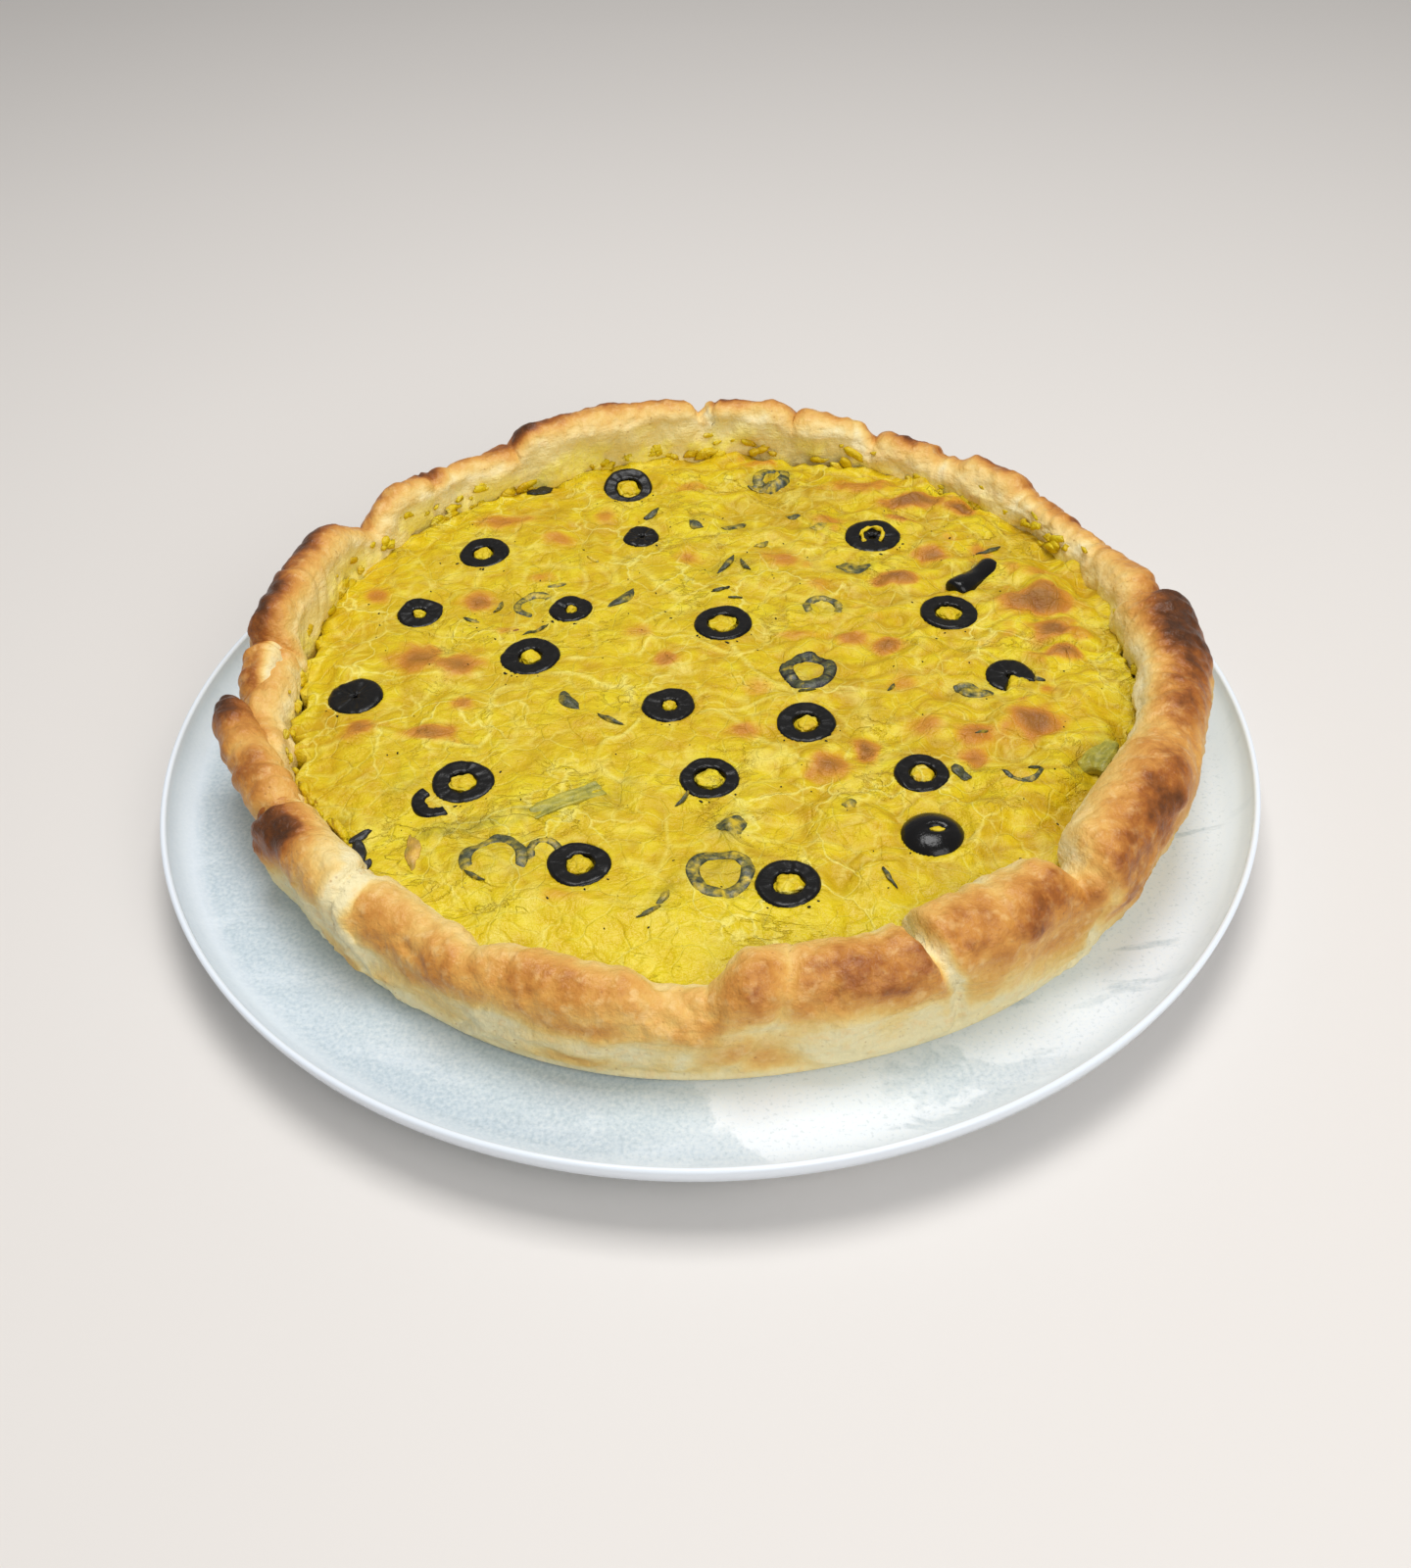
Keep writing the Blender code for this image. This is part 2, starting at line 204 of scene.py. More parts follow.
class Signal:
    # a socket that takes part in sums

    def __init__(self, paint, socket):
        self.paint = paint
        self.socket = socket

    def combine(self, operation, first, second):
        return self.paint.add("ShaderNodeMath", {"operation": operation}, {0: first, 1: second})

    def __add__(self, other):
        return self.combine("ADD", self, other)

    def __radd__(self, other):
        return self.combine("ADD", other, self)

    def __sub__(self, other):
        return self.combine("SUBTRACT", self, other)

    def __rsub__(self, other):
        return self.combine("SUBTRACT", other, self)

    def __mul__(self, other):
        return self.combine("MULTIPLY", self, other)

    def __rmul__(self, other):
        return self.combine("MULTIPLY", other, self)

    def __abs__(self):
        return self.combine("ABSOLUTE", self, 0)


class Paint:
    # a procedural material and its shader

    def __init__(self, name, **settings):
        self.material = bpy.data.materials.new(name)
        self.material.use_nodes = True
        self.tree = self.material.node_tree
        self.shader = self.tree.nodes["Principled BSDF"]
        for key, value in settings.items():
            self.shader.inputs[key].default_value = value
        self.place = self.add("ShaderNodeTexCoord", out="Object")

    def add(self, kind, settings=None, values=None, out=0):
        node = self.tree.nodes.new(kind)
        for key, value in (settings or {}).items():
            if key == "stops":
                ramp = node.color_ramp
                while len(ramp.elements) < len(value):
                    ramp.elements.new(0.5)
                for element, (position, colour) in zip(ramp.elements, value):
                    element.position = position
                    element.color = colour
            else:
                setattr(node, key, value)
        for key, value in (values or {}).items():
            if isinstance(value, Signal):
                self.tree.links.new(value.socket, node.inputs[key])
            else:
                node.inputs[key].default_value = value
        return Signal(self, node.outputs[out])

    def noise(self, scale, detail=3.0, roughness=0.55, stretch=None, distortion=0.0, at=None):
        place = at or self.place
        if stretch:
            place = self.add("ShaderNodeMapping", None, {"Vector": place, "Scale": stretch})
        return self.add("ShaderNodeTexNoise", None,
                        {"Vector": place, "Scale": scale, "Detail": detail,
                         "Roughness": roughness, "Distortion": distortion})

    def borders(self, scale, at=None):
        return self.add("ShaderNodeTexVoronoi", {"feature": "DISTANCE_TO_EDGE"},
                        {"Vector": at or self.place, "Scale": scale})

    def spots(self, scale, at=None):
        return self.add("ShaderNodeTexVoronoi", {"feature": "F1"},
                        {"Vector": at or self.place, "Scale": scale})

    def warp(self, scale, amount):
        # the place pushed about by noise, for edges that wander
        push = self.add("ShaderNodeTexNoise", None, {"Vector": self.place, "Scale": scale}, out="Color")
        centred = self.add("ShaderNodeVectorMath", {"operation": "SUBTRACT"}, {0: push, 1: (0.5, 0.5, 0.5)})
        scaled = self.add("ShaderNodeVectorMath", {"operation": "SCALE"}, {0: centred, "Scale": amount})
        return self.add("ShaderNodeVectorMath", {"operation": "ADD"}, {0: self.place, 1: scaled})

    def value(self, name):
        return self.add("ShaderNodeAttribute", {"attribute_name": name}, out="Fac")

    def between(self, signal, low, high, first=0.0, last=1.0):
        return self.add("ShaderNodeMapRange", {"clamp": True},
                        {"Value": signal, "From Min": low, "From Max": high, "To Min": first, "To Max": last})

    def ramp(self, signal, stops):
        return self.add("ShaderNodeValToRGB", {"stops": stops}, {"Fac": signal})

    def mix(self, share, first, second, blend="MIX"):
        return self.add("ShaderNodeMix", {"data_type": "RGBA", "blend_type": blend, "clamp_factor": True},
                        {0: share, 6: first, 7: second}, out=2)

    def bump(self, height, strength, distance, under=None):
        values = {"Height": height, "Strength": strength, "Distance": distance}
        if under:
            values["Normal"] = under
        return self.add("ShaderNodeBump", None, values)

    def to(self, key, signal):
        self.tree.links.new(signal.socket, self.shader.inputs[key])
        return self


# the plate: one turned profile, with a white lip round a watery grey print; the print is painted paler
# towards the right as painted light, the pale band up the rim is partly the print fading out and partly a
# painted reflection, and the lip's white is partly a painted highlight

plateShape = {
    "radius": cadHigh.x, "height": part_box("plate")[1].z,
    "wellRadius": 0.1450, "wellHeight": 0.011, "thickness": 0.005, "lip": 0.0018,
    "footRadius": 0.098, "footWidth": 0.006, "steps": 256,
}


def plateProfile(shape):
    radius, height, lip = shape["radius"], shape["height"], shape["lip"]
    well, floor = shape["wellRadius"], shape["wellHeight"]
    under = floor - shape["thickness"]
    foot = shape["footRadius"]
    inner = foot - shape["footWidth"]
    reach = radius - lip - well
    rise = height - floor - lip / 3
    points = [(0.002, floor), (0.05, floor), (0.10, floor), (0.13, floor), (well, floor)]
    for k in range(1, 13):
        turn = k / 13 * math.pi / 2
        points.append((well + reach * math.sin(turn), floor + rise * (1 - math.cos(turn))))
    for k in range(13):
        turn = math.pi * (1 - k / 12)
        points.append((radius - lip / 2 * (1 - math.cos(turn)), height - lip / 2 * (1 - math.sin(turn))))
    points += [(radius - 0.0004, height - 0.0030), (radius - 0.0014, height - 0.0055),
               (radius - 0.0036, height - 0.0085), (well - 0.002, under), (0.12, under - 0.0003),
               (foot + 0.003, under - 0.0005), (foot + 0.0006, under - 0.0018), (foot, 0.0012),
               (foot - 0.0012, 0.0), (inner + 0.0012, 0.0), (inner, 0.0012),
               (inner - 0.0006, under - 0.0018), (inner - 0.003, under - 0.0005), (0.05, under - 0.0005),
               (0.002, under - 0.0005)]
    return points


def makePlate(shape):
    points = plateProfile(shape)
    radius, height = points[0]
    plate = addPrimitive(bpy.ops.mesh.primitive_circle_add, "glazedPlate",
                         vertices=shape["steps"], radius=radius, location=(0, 0, height))
    bpy.ops.object.transform_apply(location=True)
    bpy.ops.object.mode_set(mode="EDIT")
    bpy.ops.mesh.select_all(action="SELECT")
    bpy.ops.mesh.fill()
    bpy.ops.mesh.select_all(action="SELECT")
    bpy.ops.mesh.edge_face_add()
    bpy.ops.mesh.select_mode(type="EDGE")
    bpy.ops.mesh.select_all(action="SELECT")
    bpy.ops.mesh.region_to_loop()
    for nextRadius, nextHeight in points[1:]:
        bpy.ops.mesh.extrude_edges_move()
        share = nextRadius / radius
        bpy.ops.transform.resize(value=(share, share, 1), center_override=(0, 0, 0))
        bpy.ops.transform.translate(value=(0, 0, nextHeight - height))
        radius, height = nextRadius, nextHeight
    bpy.ops.mesh.edge_face_add()
    bpy.ops.mesh.select_all(action="SELECT")
    bpy.ops.mesh.normals_make_consistent(inside=False)
    bpy.ops.object.mode_set(mode="OBJECT")
    places = getPlaces(plate)
    addValues(plate, reach=np.hypot(places[:, 0], places[:, 1]) / shape["radius"])
    return plate


# colours of the glaze; the band's blue-white is partly a painted reflection and the lip's white partly a
# painted highlight
glazeColours = {
    "mist": tone(213, 225, 234), "pale": tone(235, 243, 251), "grey": tone(187, 202, 212),
    "fadedBandAndReflection": tone(224, 235, 246), "lip": tone(231, 238, 246),
}


def glazePaint(colours):
    paint = Paint("wateryGlaze", Roughness=0.16)
    wander = paint.warp(14, 0.05)
    cloud = paint.noise(9, detail=6, roughness=0.6, at=wander, stretch=(1.0, 1.6, 1.0))
    # painted light: the x of each place lightens the print towards the right, turning grey to mist and adding
    # pale patches there
    paintedLightAcross = paint.add("ShaderNodeSeparateXYZ", None, {"Vector": paint.place}, out="X")
    islands = paint.noise(7.5, detail=10, roughness=0.62, at=wander) + paintedLightAcross * 0.75
    speckle = paint.noise(900, detail=2)
    colour = paint.mix(paint.between(cloud + paintedLightAcross * 0.6, 0.38, 0.60), colours["grey"], colours["mist"])
    colour = paint.mix(paint.between(islands, 0.512, 0.530) * paint.between(cloud, 0.3, 0.6, 0.55, 1.0),
                       colour, colours["pale"])
    streak = paint.noise(26, detail=7, stretch=(0.5, 2.2, 1.0), at=wander)
    colour = paint.mix(paint.between(streak, 0.575, 0.600, 0.0, 0.65), colour, colours["grey"])
    wash = paint.noise(60, detail=6, roughness=0.7, stretch=(0.6, 1.6, 1.0), at=wander)
    colour = paint.mix(paint.between(wash, 0.50, 0.70, 0.0, 0.45), colour, colours["pale"])
    colour = paint.mix(paint.between(speckle, 0.40, 0.70, 0.0, 0.38), colour, tone(240, 243, 243))
    colour = paint.mix(paint.between(speckle, 0.42, 0.30, 0.0, 0.30), colour, tone(168, 182, 186))
    reach = paint.value("reach")
    # a paler bluish band up the rim: partly the print fading out, partly a painted reflection
    fadedBandAndReflection = paint.between(reach, 0.930, 0.955)
    colour = paint.mix(fadedBandAndReflection * 0.80, colour, colours["fadedBandAndReflection"])
    # the lip is painted white: partly the white edge of the glaze, partly a painted highlight
    colour = paint.mix(paint.between(reach, 0.986, 0.990), colour, colours["lip"])
    paint.to("Base Color", colour)
    paint.to("Roughness", paint.between(speckle, 0.3, 0.7, 0.13, 0.22))
    return paint.material


print("plate")
finishPiece(makePlate(plateShape), glazePaint(glazeColours), ["plate"])


# the crust: one ring of dough, with folds that lie over each other

tart = {
    "x": 0.0036, "y": 0.0090, "z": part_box("crust")[0].z,
    "baseRadius": 0.1336, "baseCorner": 0.0024, "baseThickness": 0.004,
    "wallBulge": 0.0012, "wallFoot": 0.0085,
    "footRise": 0.003, "rimLow": 0.0266, "rimRise": 0.0022, "rimThickness": 0.010,
    "crestHeight": 0.0095, "fillingLevel": 0.0250, "edgeDrop": 0.0024, "top": cadHigh.z,
}

# folds, counter-clockwise from the right, in degrees and millimetres:
# start, end, softness of each, how far each end leans towards the base, crest, thickness, push,
# browning of the crest at the start and at the end
rimFolds = [
    (5, 23, 6, 5, 2, 0, 32.5, 11.0, -0.5, 0.40, 0.50),
    (21, 37, 4, 5, -3, 0, 32.0, 12.5, 0.0, 0.52, 0.46),
    (36, 51, 4, 4, -2, 2, 35.0, 12.0, 0.5, 0.56, 0.60),
    (50, 66, 5, 5, 0, 2, 35.0, 12.5, 0.5, 0.64, 0.66),
    (14, 76, 7, 7, 0, 0, 31.6, 11.5, 0.0, 0.44, 0.44),
    (60, 80, 8, 6, 0, 0, 39.0, 12.0, 0.0, 0.48, 0.48),
    (71, 91, 9, 3.5, 0, -3, 42.2, 12.0, 0.5, 0.55, 0.62),
    (84, 94, 5, 5, 0, 0, 40.0, 10.5, 0.3, 0.46, 0.46),
    (88, 124, 5, 7, 2, 0, 42.0, 10.5, 0.0, 0.62, 0.62),
    (114, 150, 8, 8, 0, 0, 36.8, 10.5, 0.6, 0.50, 0.52),
    (131, 147, 4, 6, -4, 0, 38.2, 10.5, 1.0, 0.62, 0.46),
    (142, 178, 14, 5, 0, 3, 40.6, 12.0, 2.4, 0.44, 0.72),
    (172, 190, 4, 5, 0, 0, 31.0, 13.0, 1.6, 0.50, 0.40),
    (184, 212, 4, 5, -3, 0, 27.6, 12.5, 1.6, 0.40, 0.50),
    (205, 226, 2.5, 5, -2, 5, 30.6, 16.0, 2.6, 0.74, 0.14),
    (222, 243, 3.0, 7, 5, 0, 26.6, 15.5, -0.6, 0.40, 0.38),
    (238, 264, 7, 6, 0, 0, 29.0, 16.5, 0.0, 0.36, 0.42),
    (254, 276, 6, 6, 0, 0, 25.6, 15.5, 0.0, 0.32, 0.36),
    (266, 292.5, 6, 3, 0, 2.5, 34.0, 19.0, 0.5, 0.42, 0.56),
    (289.5, 314, 3, 6, 2.5, -3, 34.6, 20.5, 0.5, 0.44, 0.52),
    (309, 369, 7, 5, -3, -4, 38.5, 20.5, 4.5, 0.50, 0.82),
]

# seams across the outer wall: direction at the crest and at the base, how much the line bows,
# depth, height of the lip beside it, its side, width of the pale line and how pale it is
rimSeams = [
    (291.0, 293.8, 1.4, 1.5, 0.3, -1, 1.7, 1.0),
    (312.5, 308.5, 2.4, 0.8, 0.7, 1, 2.2, 0.40),
    (223.0, 231.0, -2.5, 1.6, 1.4, 1, 3.2, 0.9),
    (206.0, 203.0, 0.0, 2.0, 0.8, 1, 1.2, 0.0),
    (176.0, 173.0, 0.0, 1.0, 0.0, 1, 1.2, 0.1),
    (131.0, 126.0, 1.5, 0.8, 0.5, 1, 1.6, 0.3),
    (89.8, 94.0, -1.5, 0.8, 0.5, -1, 1.6, 0.5),
    (66.0, 71.0, 1.0, 0.4, 0.3, -1, 1.6, 0.3),
    (51.5, 55.0, 1.0, 0.8, 0.5, -1, 1.4, 0.2),
    (37.0, 33.0, 0.0, 0.7, 0.4, 1, 1.4, 0.3),
    (22.5, 19.0, 0.0, 0.7, 0.4, 1, 1.4, 0.2),
    (276.0, 268.0, 1.5, 0.5, 0.5, 1, 2.4, 0.20),
    (301.0, 296.5, 1.0, 0.35, 0.4, 1, 2.6, 0.15),
    (246.0, 239.0, 1.0, 0.35, 0.4, 1, 2.6, 0.10),
]

# baked and pale patches: direction, height (0 base, 0.68 crest, 1 inner edge), half sizes, strength
rimPatches = [
    (281, 0.68, 9, 0.12, 0.14), (271, 0.20, 6, 0.16, 0.30), (284, 0.30, 9, 0.15, -0.26),
    (250, 0.66, 5, 0.08, 0.10), (262, 0.52, 2.6, 0.12, -0.20), (237, 0.30, 9, 0.14, -0.06),
    (265.5, 0.22, 1.8, 0.24, -0.16), (305, 0.40, 4.5, 0.20, 0.08), (298, 0.60, 6, 0.16, 0.08),
    (301, 0.20, 7, 0.12, -0.12), (322, 0.50, 9, 0.25, 0.05), (333, 0.62, 7, 0.16, -0.16),
    (346, 0.75, 14, 0.09, 0.22), (345, 0.45, 15, 0.13, -0.24), (210, 0.66, 3.4, 0.18, 0.32),
    (209, 0.44, 2.2, 0.12, 0.10), (358, 0.68, 7, 0.14, 0.20), (349, 0.90, 8, 0.13, -0.70),
    (336, 0.12, 16, 0.12, 0.22), (222, 0.45, 4, 0.40, -0.22), (168, 0.56, 7, 0.16, 0.26),
    (155, 0.60, 6, 0.12, 0.16), (133, 0.68, 2.6, 0.10, 0.28), (118, 0.70, 3.0, 0.07, 0.26),
    (86, 0.68, 2.4, 0.08, 0.30), (58, 0.66, 3.5, 0.10, 0.22), (44, 0.62, 3.5, 0.10, 0.18),
    (28, 0.62, 3.5, 0.10, 0.22), (70, 0.70, 3, 0.06, 0.18), (6, 0.42, 8, 0.26, 0.12),
    (195, 0.92, 3.5, 0.10, 0.30), (318, 0.93, 12, 0.07, -0.5), (301, 0.93, 6, 0.07, -0.4),
    (250, 0.10, 8, 0.10, 0.12), (228, 0.12, 6, 0.12, 0.14), (250, 0.30, 12, 0.16, -0.05),
    (236, 0.34, 6, 0.18, 0.02), (302, 0.30, 7, 0.13, 0.12), (318, 0.30, 8, 0.18, 0.22),
    (331, 0.24, 8, 0.16, 0.14), (276, 0.40, 5, 0.12, 0.10),
]

# wrinkles that run across a fold: start, end, spacing, height, from and to which height of the fold
rimWrinkles = [
    (194, 208, 3.4, 0.35, 0.45, 0.98),
    (344, 366, 5.0, 0.22, 0.40, 0.85),
    (22, 66, 6.5, 0.25, 0.50, 0.90),
]

crustShape = {"columns": 1200, "wall": 27, "arc": 30, "inner": 18, "crestAt": 0.68}
upright = np.array([1.0, 1.0, 2.2])  # patterns that run up and down the wall are stretched by this
tartMiddle = np.array([tart["x"], tart["y"], tart["z"]])


def rimAt(degrees, height):
    # crest, thickness, push and browning of the rim, for arrays of directions and heights
    angle = np.radians(degrees)
    low = tart["rimLow"] + tart["rimRise"] * np.sin(angle)
    crest = low + 0 * height
    thickness = tart["rimThickness"] + 0 * crest
    push = 0 * crest
    browning = 0 * crest
    total = 0 * crest + 0.02
    slant = 1 - height / crustShape["crestAt"]
    for start, end, softStart, softEnd, leanStart, leanEnd, high, wide, out, first, last in rimFolds:
        share = 0 * crest
        along = 0 * crest
        for turned in (degrees - 360.0, degrees, degrees + 360.0):
            fromStart = turned - start - leanStart * slant
            toEnd = end + leanEnd * slant - turned
            here = ease(fromStart / softStart) * ease(toEnd / softEnd)
            along = np.where(here > share, np.clip(fromStart / (end - start), 0, 1), along)
            share = np.maximum(share, here)
        crest = np.maximum(crest, low + (high * mm - low) * share)
        thickness = np.maximum(thickness, tart["rimThickness"] + (wide * mm - tart["rimThickness"]) * share)
        push = push + out * mm * share
        browning = browning + (first + (last - first) * along) * share
        total = total + share
    return crest, thickness, push, browning / total


def baseRadius(angle):
    return tart["baseRadius"] + 0.0007 * np.sin(3 * angle + 0.6) + 0.0005 * np.sin(7 * angle + 2.1)


def fillingEdge(angle):
    front = np.maximum(0.0, -np.sin(angle))
    return tart["fillingLevel"] - tart["edgeDrop"] - 0.0012 * front ** 2 + 0.0005 * np.sin(5 * angle + 1.0)


def crestMiddle(angle, crest, thickness, push):
    # the round crest of the wall: how far out its middle lies, half its width, how high its middle
    # lies, and how far it rises above that
    half = thickness / 2
    cap = np.minimum(half, tart["crestHeight"])
    return baseRadius(angle) + tart["wallBulge"] + push - half, half, crest - cap, cap


def wallFoot(angle):
    # distance and height of the inner wall's lower end
    return baseRadius(angle) - tart["wallFoot"], tart["baseThickness"] + tart["footRise"]


def contactRadius(angle):
    # where the filling meets the inner wall
    degrees = np.degrees(angle) % 360.0
    crest, thickness, push = rimAt(degrees, 0.94 + 0 * degrees)[:3]
    hub, half, hubHeight, cap = crestMiddle(angle, crest, thickness, push)
    edge = fillingEdge(angle)
    lift = np.maximum(edge - hubHeight, 0.0) / cap
    curved = hub - half * np.sqrt(np.maximum(1.0 - lift * lift, 0.0))
    foot, footHeight = wallFoot(angle)
    straight = foot + (hub - half - foot) * (edge - footHeight) / (hubHeight - footHeight)
    return np.where(lift > 0, curved, straight)


# where the skin has pulled away: middle and half width of each stretch in degrees, gap in millimetres
crevices = ((178, 27, 5.4), (118, 26, 3.2), (70, 14, 4.0), (-4, 14, 3.4), (45, 10, 2.2))


def crevice(angle):
    # how far the skin has pulled away from the crust
    degrees = np.degrees(angle) % 360.0
    places = np.stack([np.cos(angle), np.sin(angle), 0 * angle], axis=-1)
    ragged = 0.55 + 1.2 * grain(places, 0.10, 3.0) + 0.8 * grain(places, 0.035, 8.0)
    reach = 0 * angle
    for middle, half, wide in crevices:
        away = np.abs(turnFrom(degrees, middle))
        reach = np.maximum(reach, wide * ease((half - away) / (0.45 * half)))
    return np.clip(reach * ragged, 0, 5.0) * mm


def crustSection(shape, angle):
    # distance from the middle, height and browning of every point, and its share of the way up and over:
    # five rows under the crust, then the wall, the crest, the inner wall and two rows of floor
    wall, arc, inner = (np.linspace(0, 1, shape[part] + 1)[1:] for part in ("wall", "arc", "inner"))
    share = np.concatenate([np.zeros(5), 0.5 * wall, 0.5 + 0.36 * arc, 0.86 + 0.14 * inner, np.ones(2)])
    degrees = np.degrees(angle)
    crest, thickness, push, browning = rimAt(degrees, share[None, :] + 0 * degrees)
    base = baseRadius(angle) + 0 * crest
    outer = base + tart["wallBulge"] + push
    hub, half, hubHeight, cap = crestMiddle(angle, crest, thickness, push)
    edge = fillingEdge(angle) + 0 * crest
    lift = np.clip(np.maximum(edge - 0.002 - hubHeight, 0.0) / cap, 0, 0.95)
    last = np.pi - np.arcsin(lift)
    foot, footHeight = wallFoot(angle)
    corner = tart["baseCorner"]
    radius, rise = 0 * crest, 0 * crest
    radius[:, 1] = base[:, 1] * 0.6
    for row, (inside, up) in enumerate(((1.4, 0.0), (0.55, 0.25), (0.0, 0.95)), 2):
        radius[:, row] = base[:, row] - corner * inside
        rise[:, row] = corner * up
    for row, part in enumerate(wall, 5):
        radius[:, row] = base[:, row] + (outer[:, row] - base[:, row]) * (1 - (1 - part) ** 2)
        rise[:, row] = corner + (hubHeight[:, row] - corner) * part
    for row, part in enumerate(arc, row + 1):
        turn = last[:, row] * part
        radius[:, row] = hub[:, row] + half[:, row] * np.cos(turn)
        rise[:, row] = hubHeight[:, row] + cap[:, row] * np.sin(turn)
    arcEnd = row
    for row, part in enumerate(inner, row + 1):
        radius[:, row] = radius[:, arcEnd] + (foot[:, 0] - radius[:, arcEnd]) * part
        rise[:, row] = rise[:, arcEnd] + (footHeight - rise[:, arcEnd]) * part
    radius[:, row + 1] = radius[:, row] - 0.003
    rise[:, row + 1:] = tart["baseThickness"]
    return radius, rise, browning, share[None, :] + 0 * crest


def doughRelief(flat, heights, roll, wall):
    # lumps, creases and the steps of thin sheets, in millimetres, and where the dough is creased
    inView = ease(heights / 0.04) * ease((1.0 - heights) / 0.06)
    relief = 2.0 * grain(flat, 0.045, 3.1) * inView
    relief += 1.5 * grain(flat, 0.017, 7.7) * inView
    relief += 0.85 * np.abs(grain(flat, 0.0085, 1.3)) * (0.3 + 0.7 * roll) * inView
    relief += 0.50 * grain(flat, 0.0042, 5.9) * (0.6 * wall + roll)
    relief += 0.26 * grain(flat, 0.0021, 2.3) * inView
    bent = wander(flat, 0.004, 0.016, 83.0, 87.0)
    wrinkled = np.maximum(1 - np.abs(grain(bent, 0.013, 81.0)) * 7, 0)
    relief -= 0.55 * wrinkled * roll * ease(grain(flat, 0.028, 85.0) * 3 + 0.6)
    within = ease((heights - 0.80) / 0.08) * ease((1.0 - heights) / 0.05)
    relief += within * (1.9 * grain(flat, 0.011, 91.0) + 0.9 * np.abs(grain(flat, 0.005, 93.0)))
    pleats = 1 - np.abs(grain(flat * upright, 0.020, 11.0)) * 3.2
    relief += 1.0 * np.maximum(pleats, 0) * wall - 0.25 * wall
    sheets = (flat[:, 2] / 0.0034 + 2.2 * grain(flat, 0.03, 4.4) + 0.6 * grain(flat, 0.009, 6.1)) % 1.0
    relief += 0.55 * (sheets ** 2) * wall * ease(grain(flat, 0.022, 9.2) * 3 + 0.7)
    return relief, wrinkled


def seamRelief(flat, heights, turns):
    # seams and wrinkles across the folds, and how pale the seams are
    relief, pale = 0 * heights, 0 * heights
    for top, bottom, bow, depth, lip, side, width, tint in rimSeams:
        slant = np.clip(1 - heights / crustShape["crestAt"], -0.6, 1)
        line = top + (bottom - top) * slant + bow * np.sin(np.pi * np.clip(slant, 0, 1))
        apart = np.radians(turnFrom(turns, line)) * tart["baseRadius"] / mm
        apart = apart + 1.2 * grain(flat, 0.008, top)
        deep = depth * np.exp(-(apart / (0.9 + 0.4 * width)) ** 2)
        beside = np.where(apart * side > 0, lip * np.exp(-np.abs(apart) / 5.0), 0)
        fade = ease(heights / 0.08) * ease((1.02 - heights) / 0.12)
        relief += (beside - deep) * fade
        pale = np.maximum(pale, tint * np.exp(-(apart / width) ** 2) * fade)
    for start, end, spacing, size, lowest, highest in rimWrinkles:
        reach = (end - start) / 2
        away = np.abs(turnFrom(turns, (start + end) / 2))
        mask = ease((reach - away) / (0.3 * reach))
        mask *= bellAt(heights, (lowest + highest) / 2, (highest - lowest) / 2)
        phase = np.radians(turns) * tart["baseRadius"] / mm / spacing * 2 * np.pi
        relief += size * np.sin(phase + 6 * grain(flat, 0.018, start)) * mask
    return relief, pale


def crustBrowning(flat, heights, turns, browning):
    # crests first, then patches
    bake = browning * bellAt(heights, 0.62, np.where(heights > 0.62, 0.17, 0.20))
    bake += 0.20 * ease((heights - 0.04) / 0.2) * ease((0.8 - heights) / 0.3)
    for direction, middle, wide, tall, strength in rimPatches:
        away = turnFrom(turns + 5 * grain(flat, 0.02, middle), direction)
        bake += strength * np.exp(-(away / wide) ** 2 - ((heights - middle) / tall) ** 2)
    return bake


def smearAndGapShade(flat, heights, turns):
    # yellow smears of filling on the inner wall, and painted shade on the inner wall's foot where the filling
    # has pulled away, which makes the gap look dark
    away = np.abs(turnFrom(turns, 90))
    smear = 0.35 + 0.65 * ease((grain(flat, 0.012, 21.0) + 0.6 * grain(flat, 0.005, 3.0)) * 4 + 0.1)
    smear *= ease((heights - 0.84) / 0.06) * (0.25 + 0.75 * ease((150 - away) / 60))
    gap = ease(crevice(np.radians(turns)) / 0.003) * ease((heights - 0.915) / 0.05)
    return smear, gap


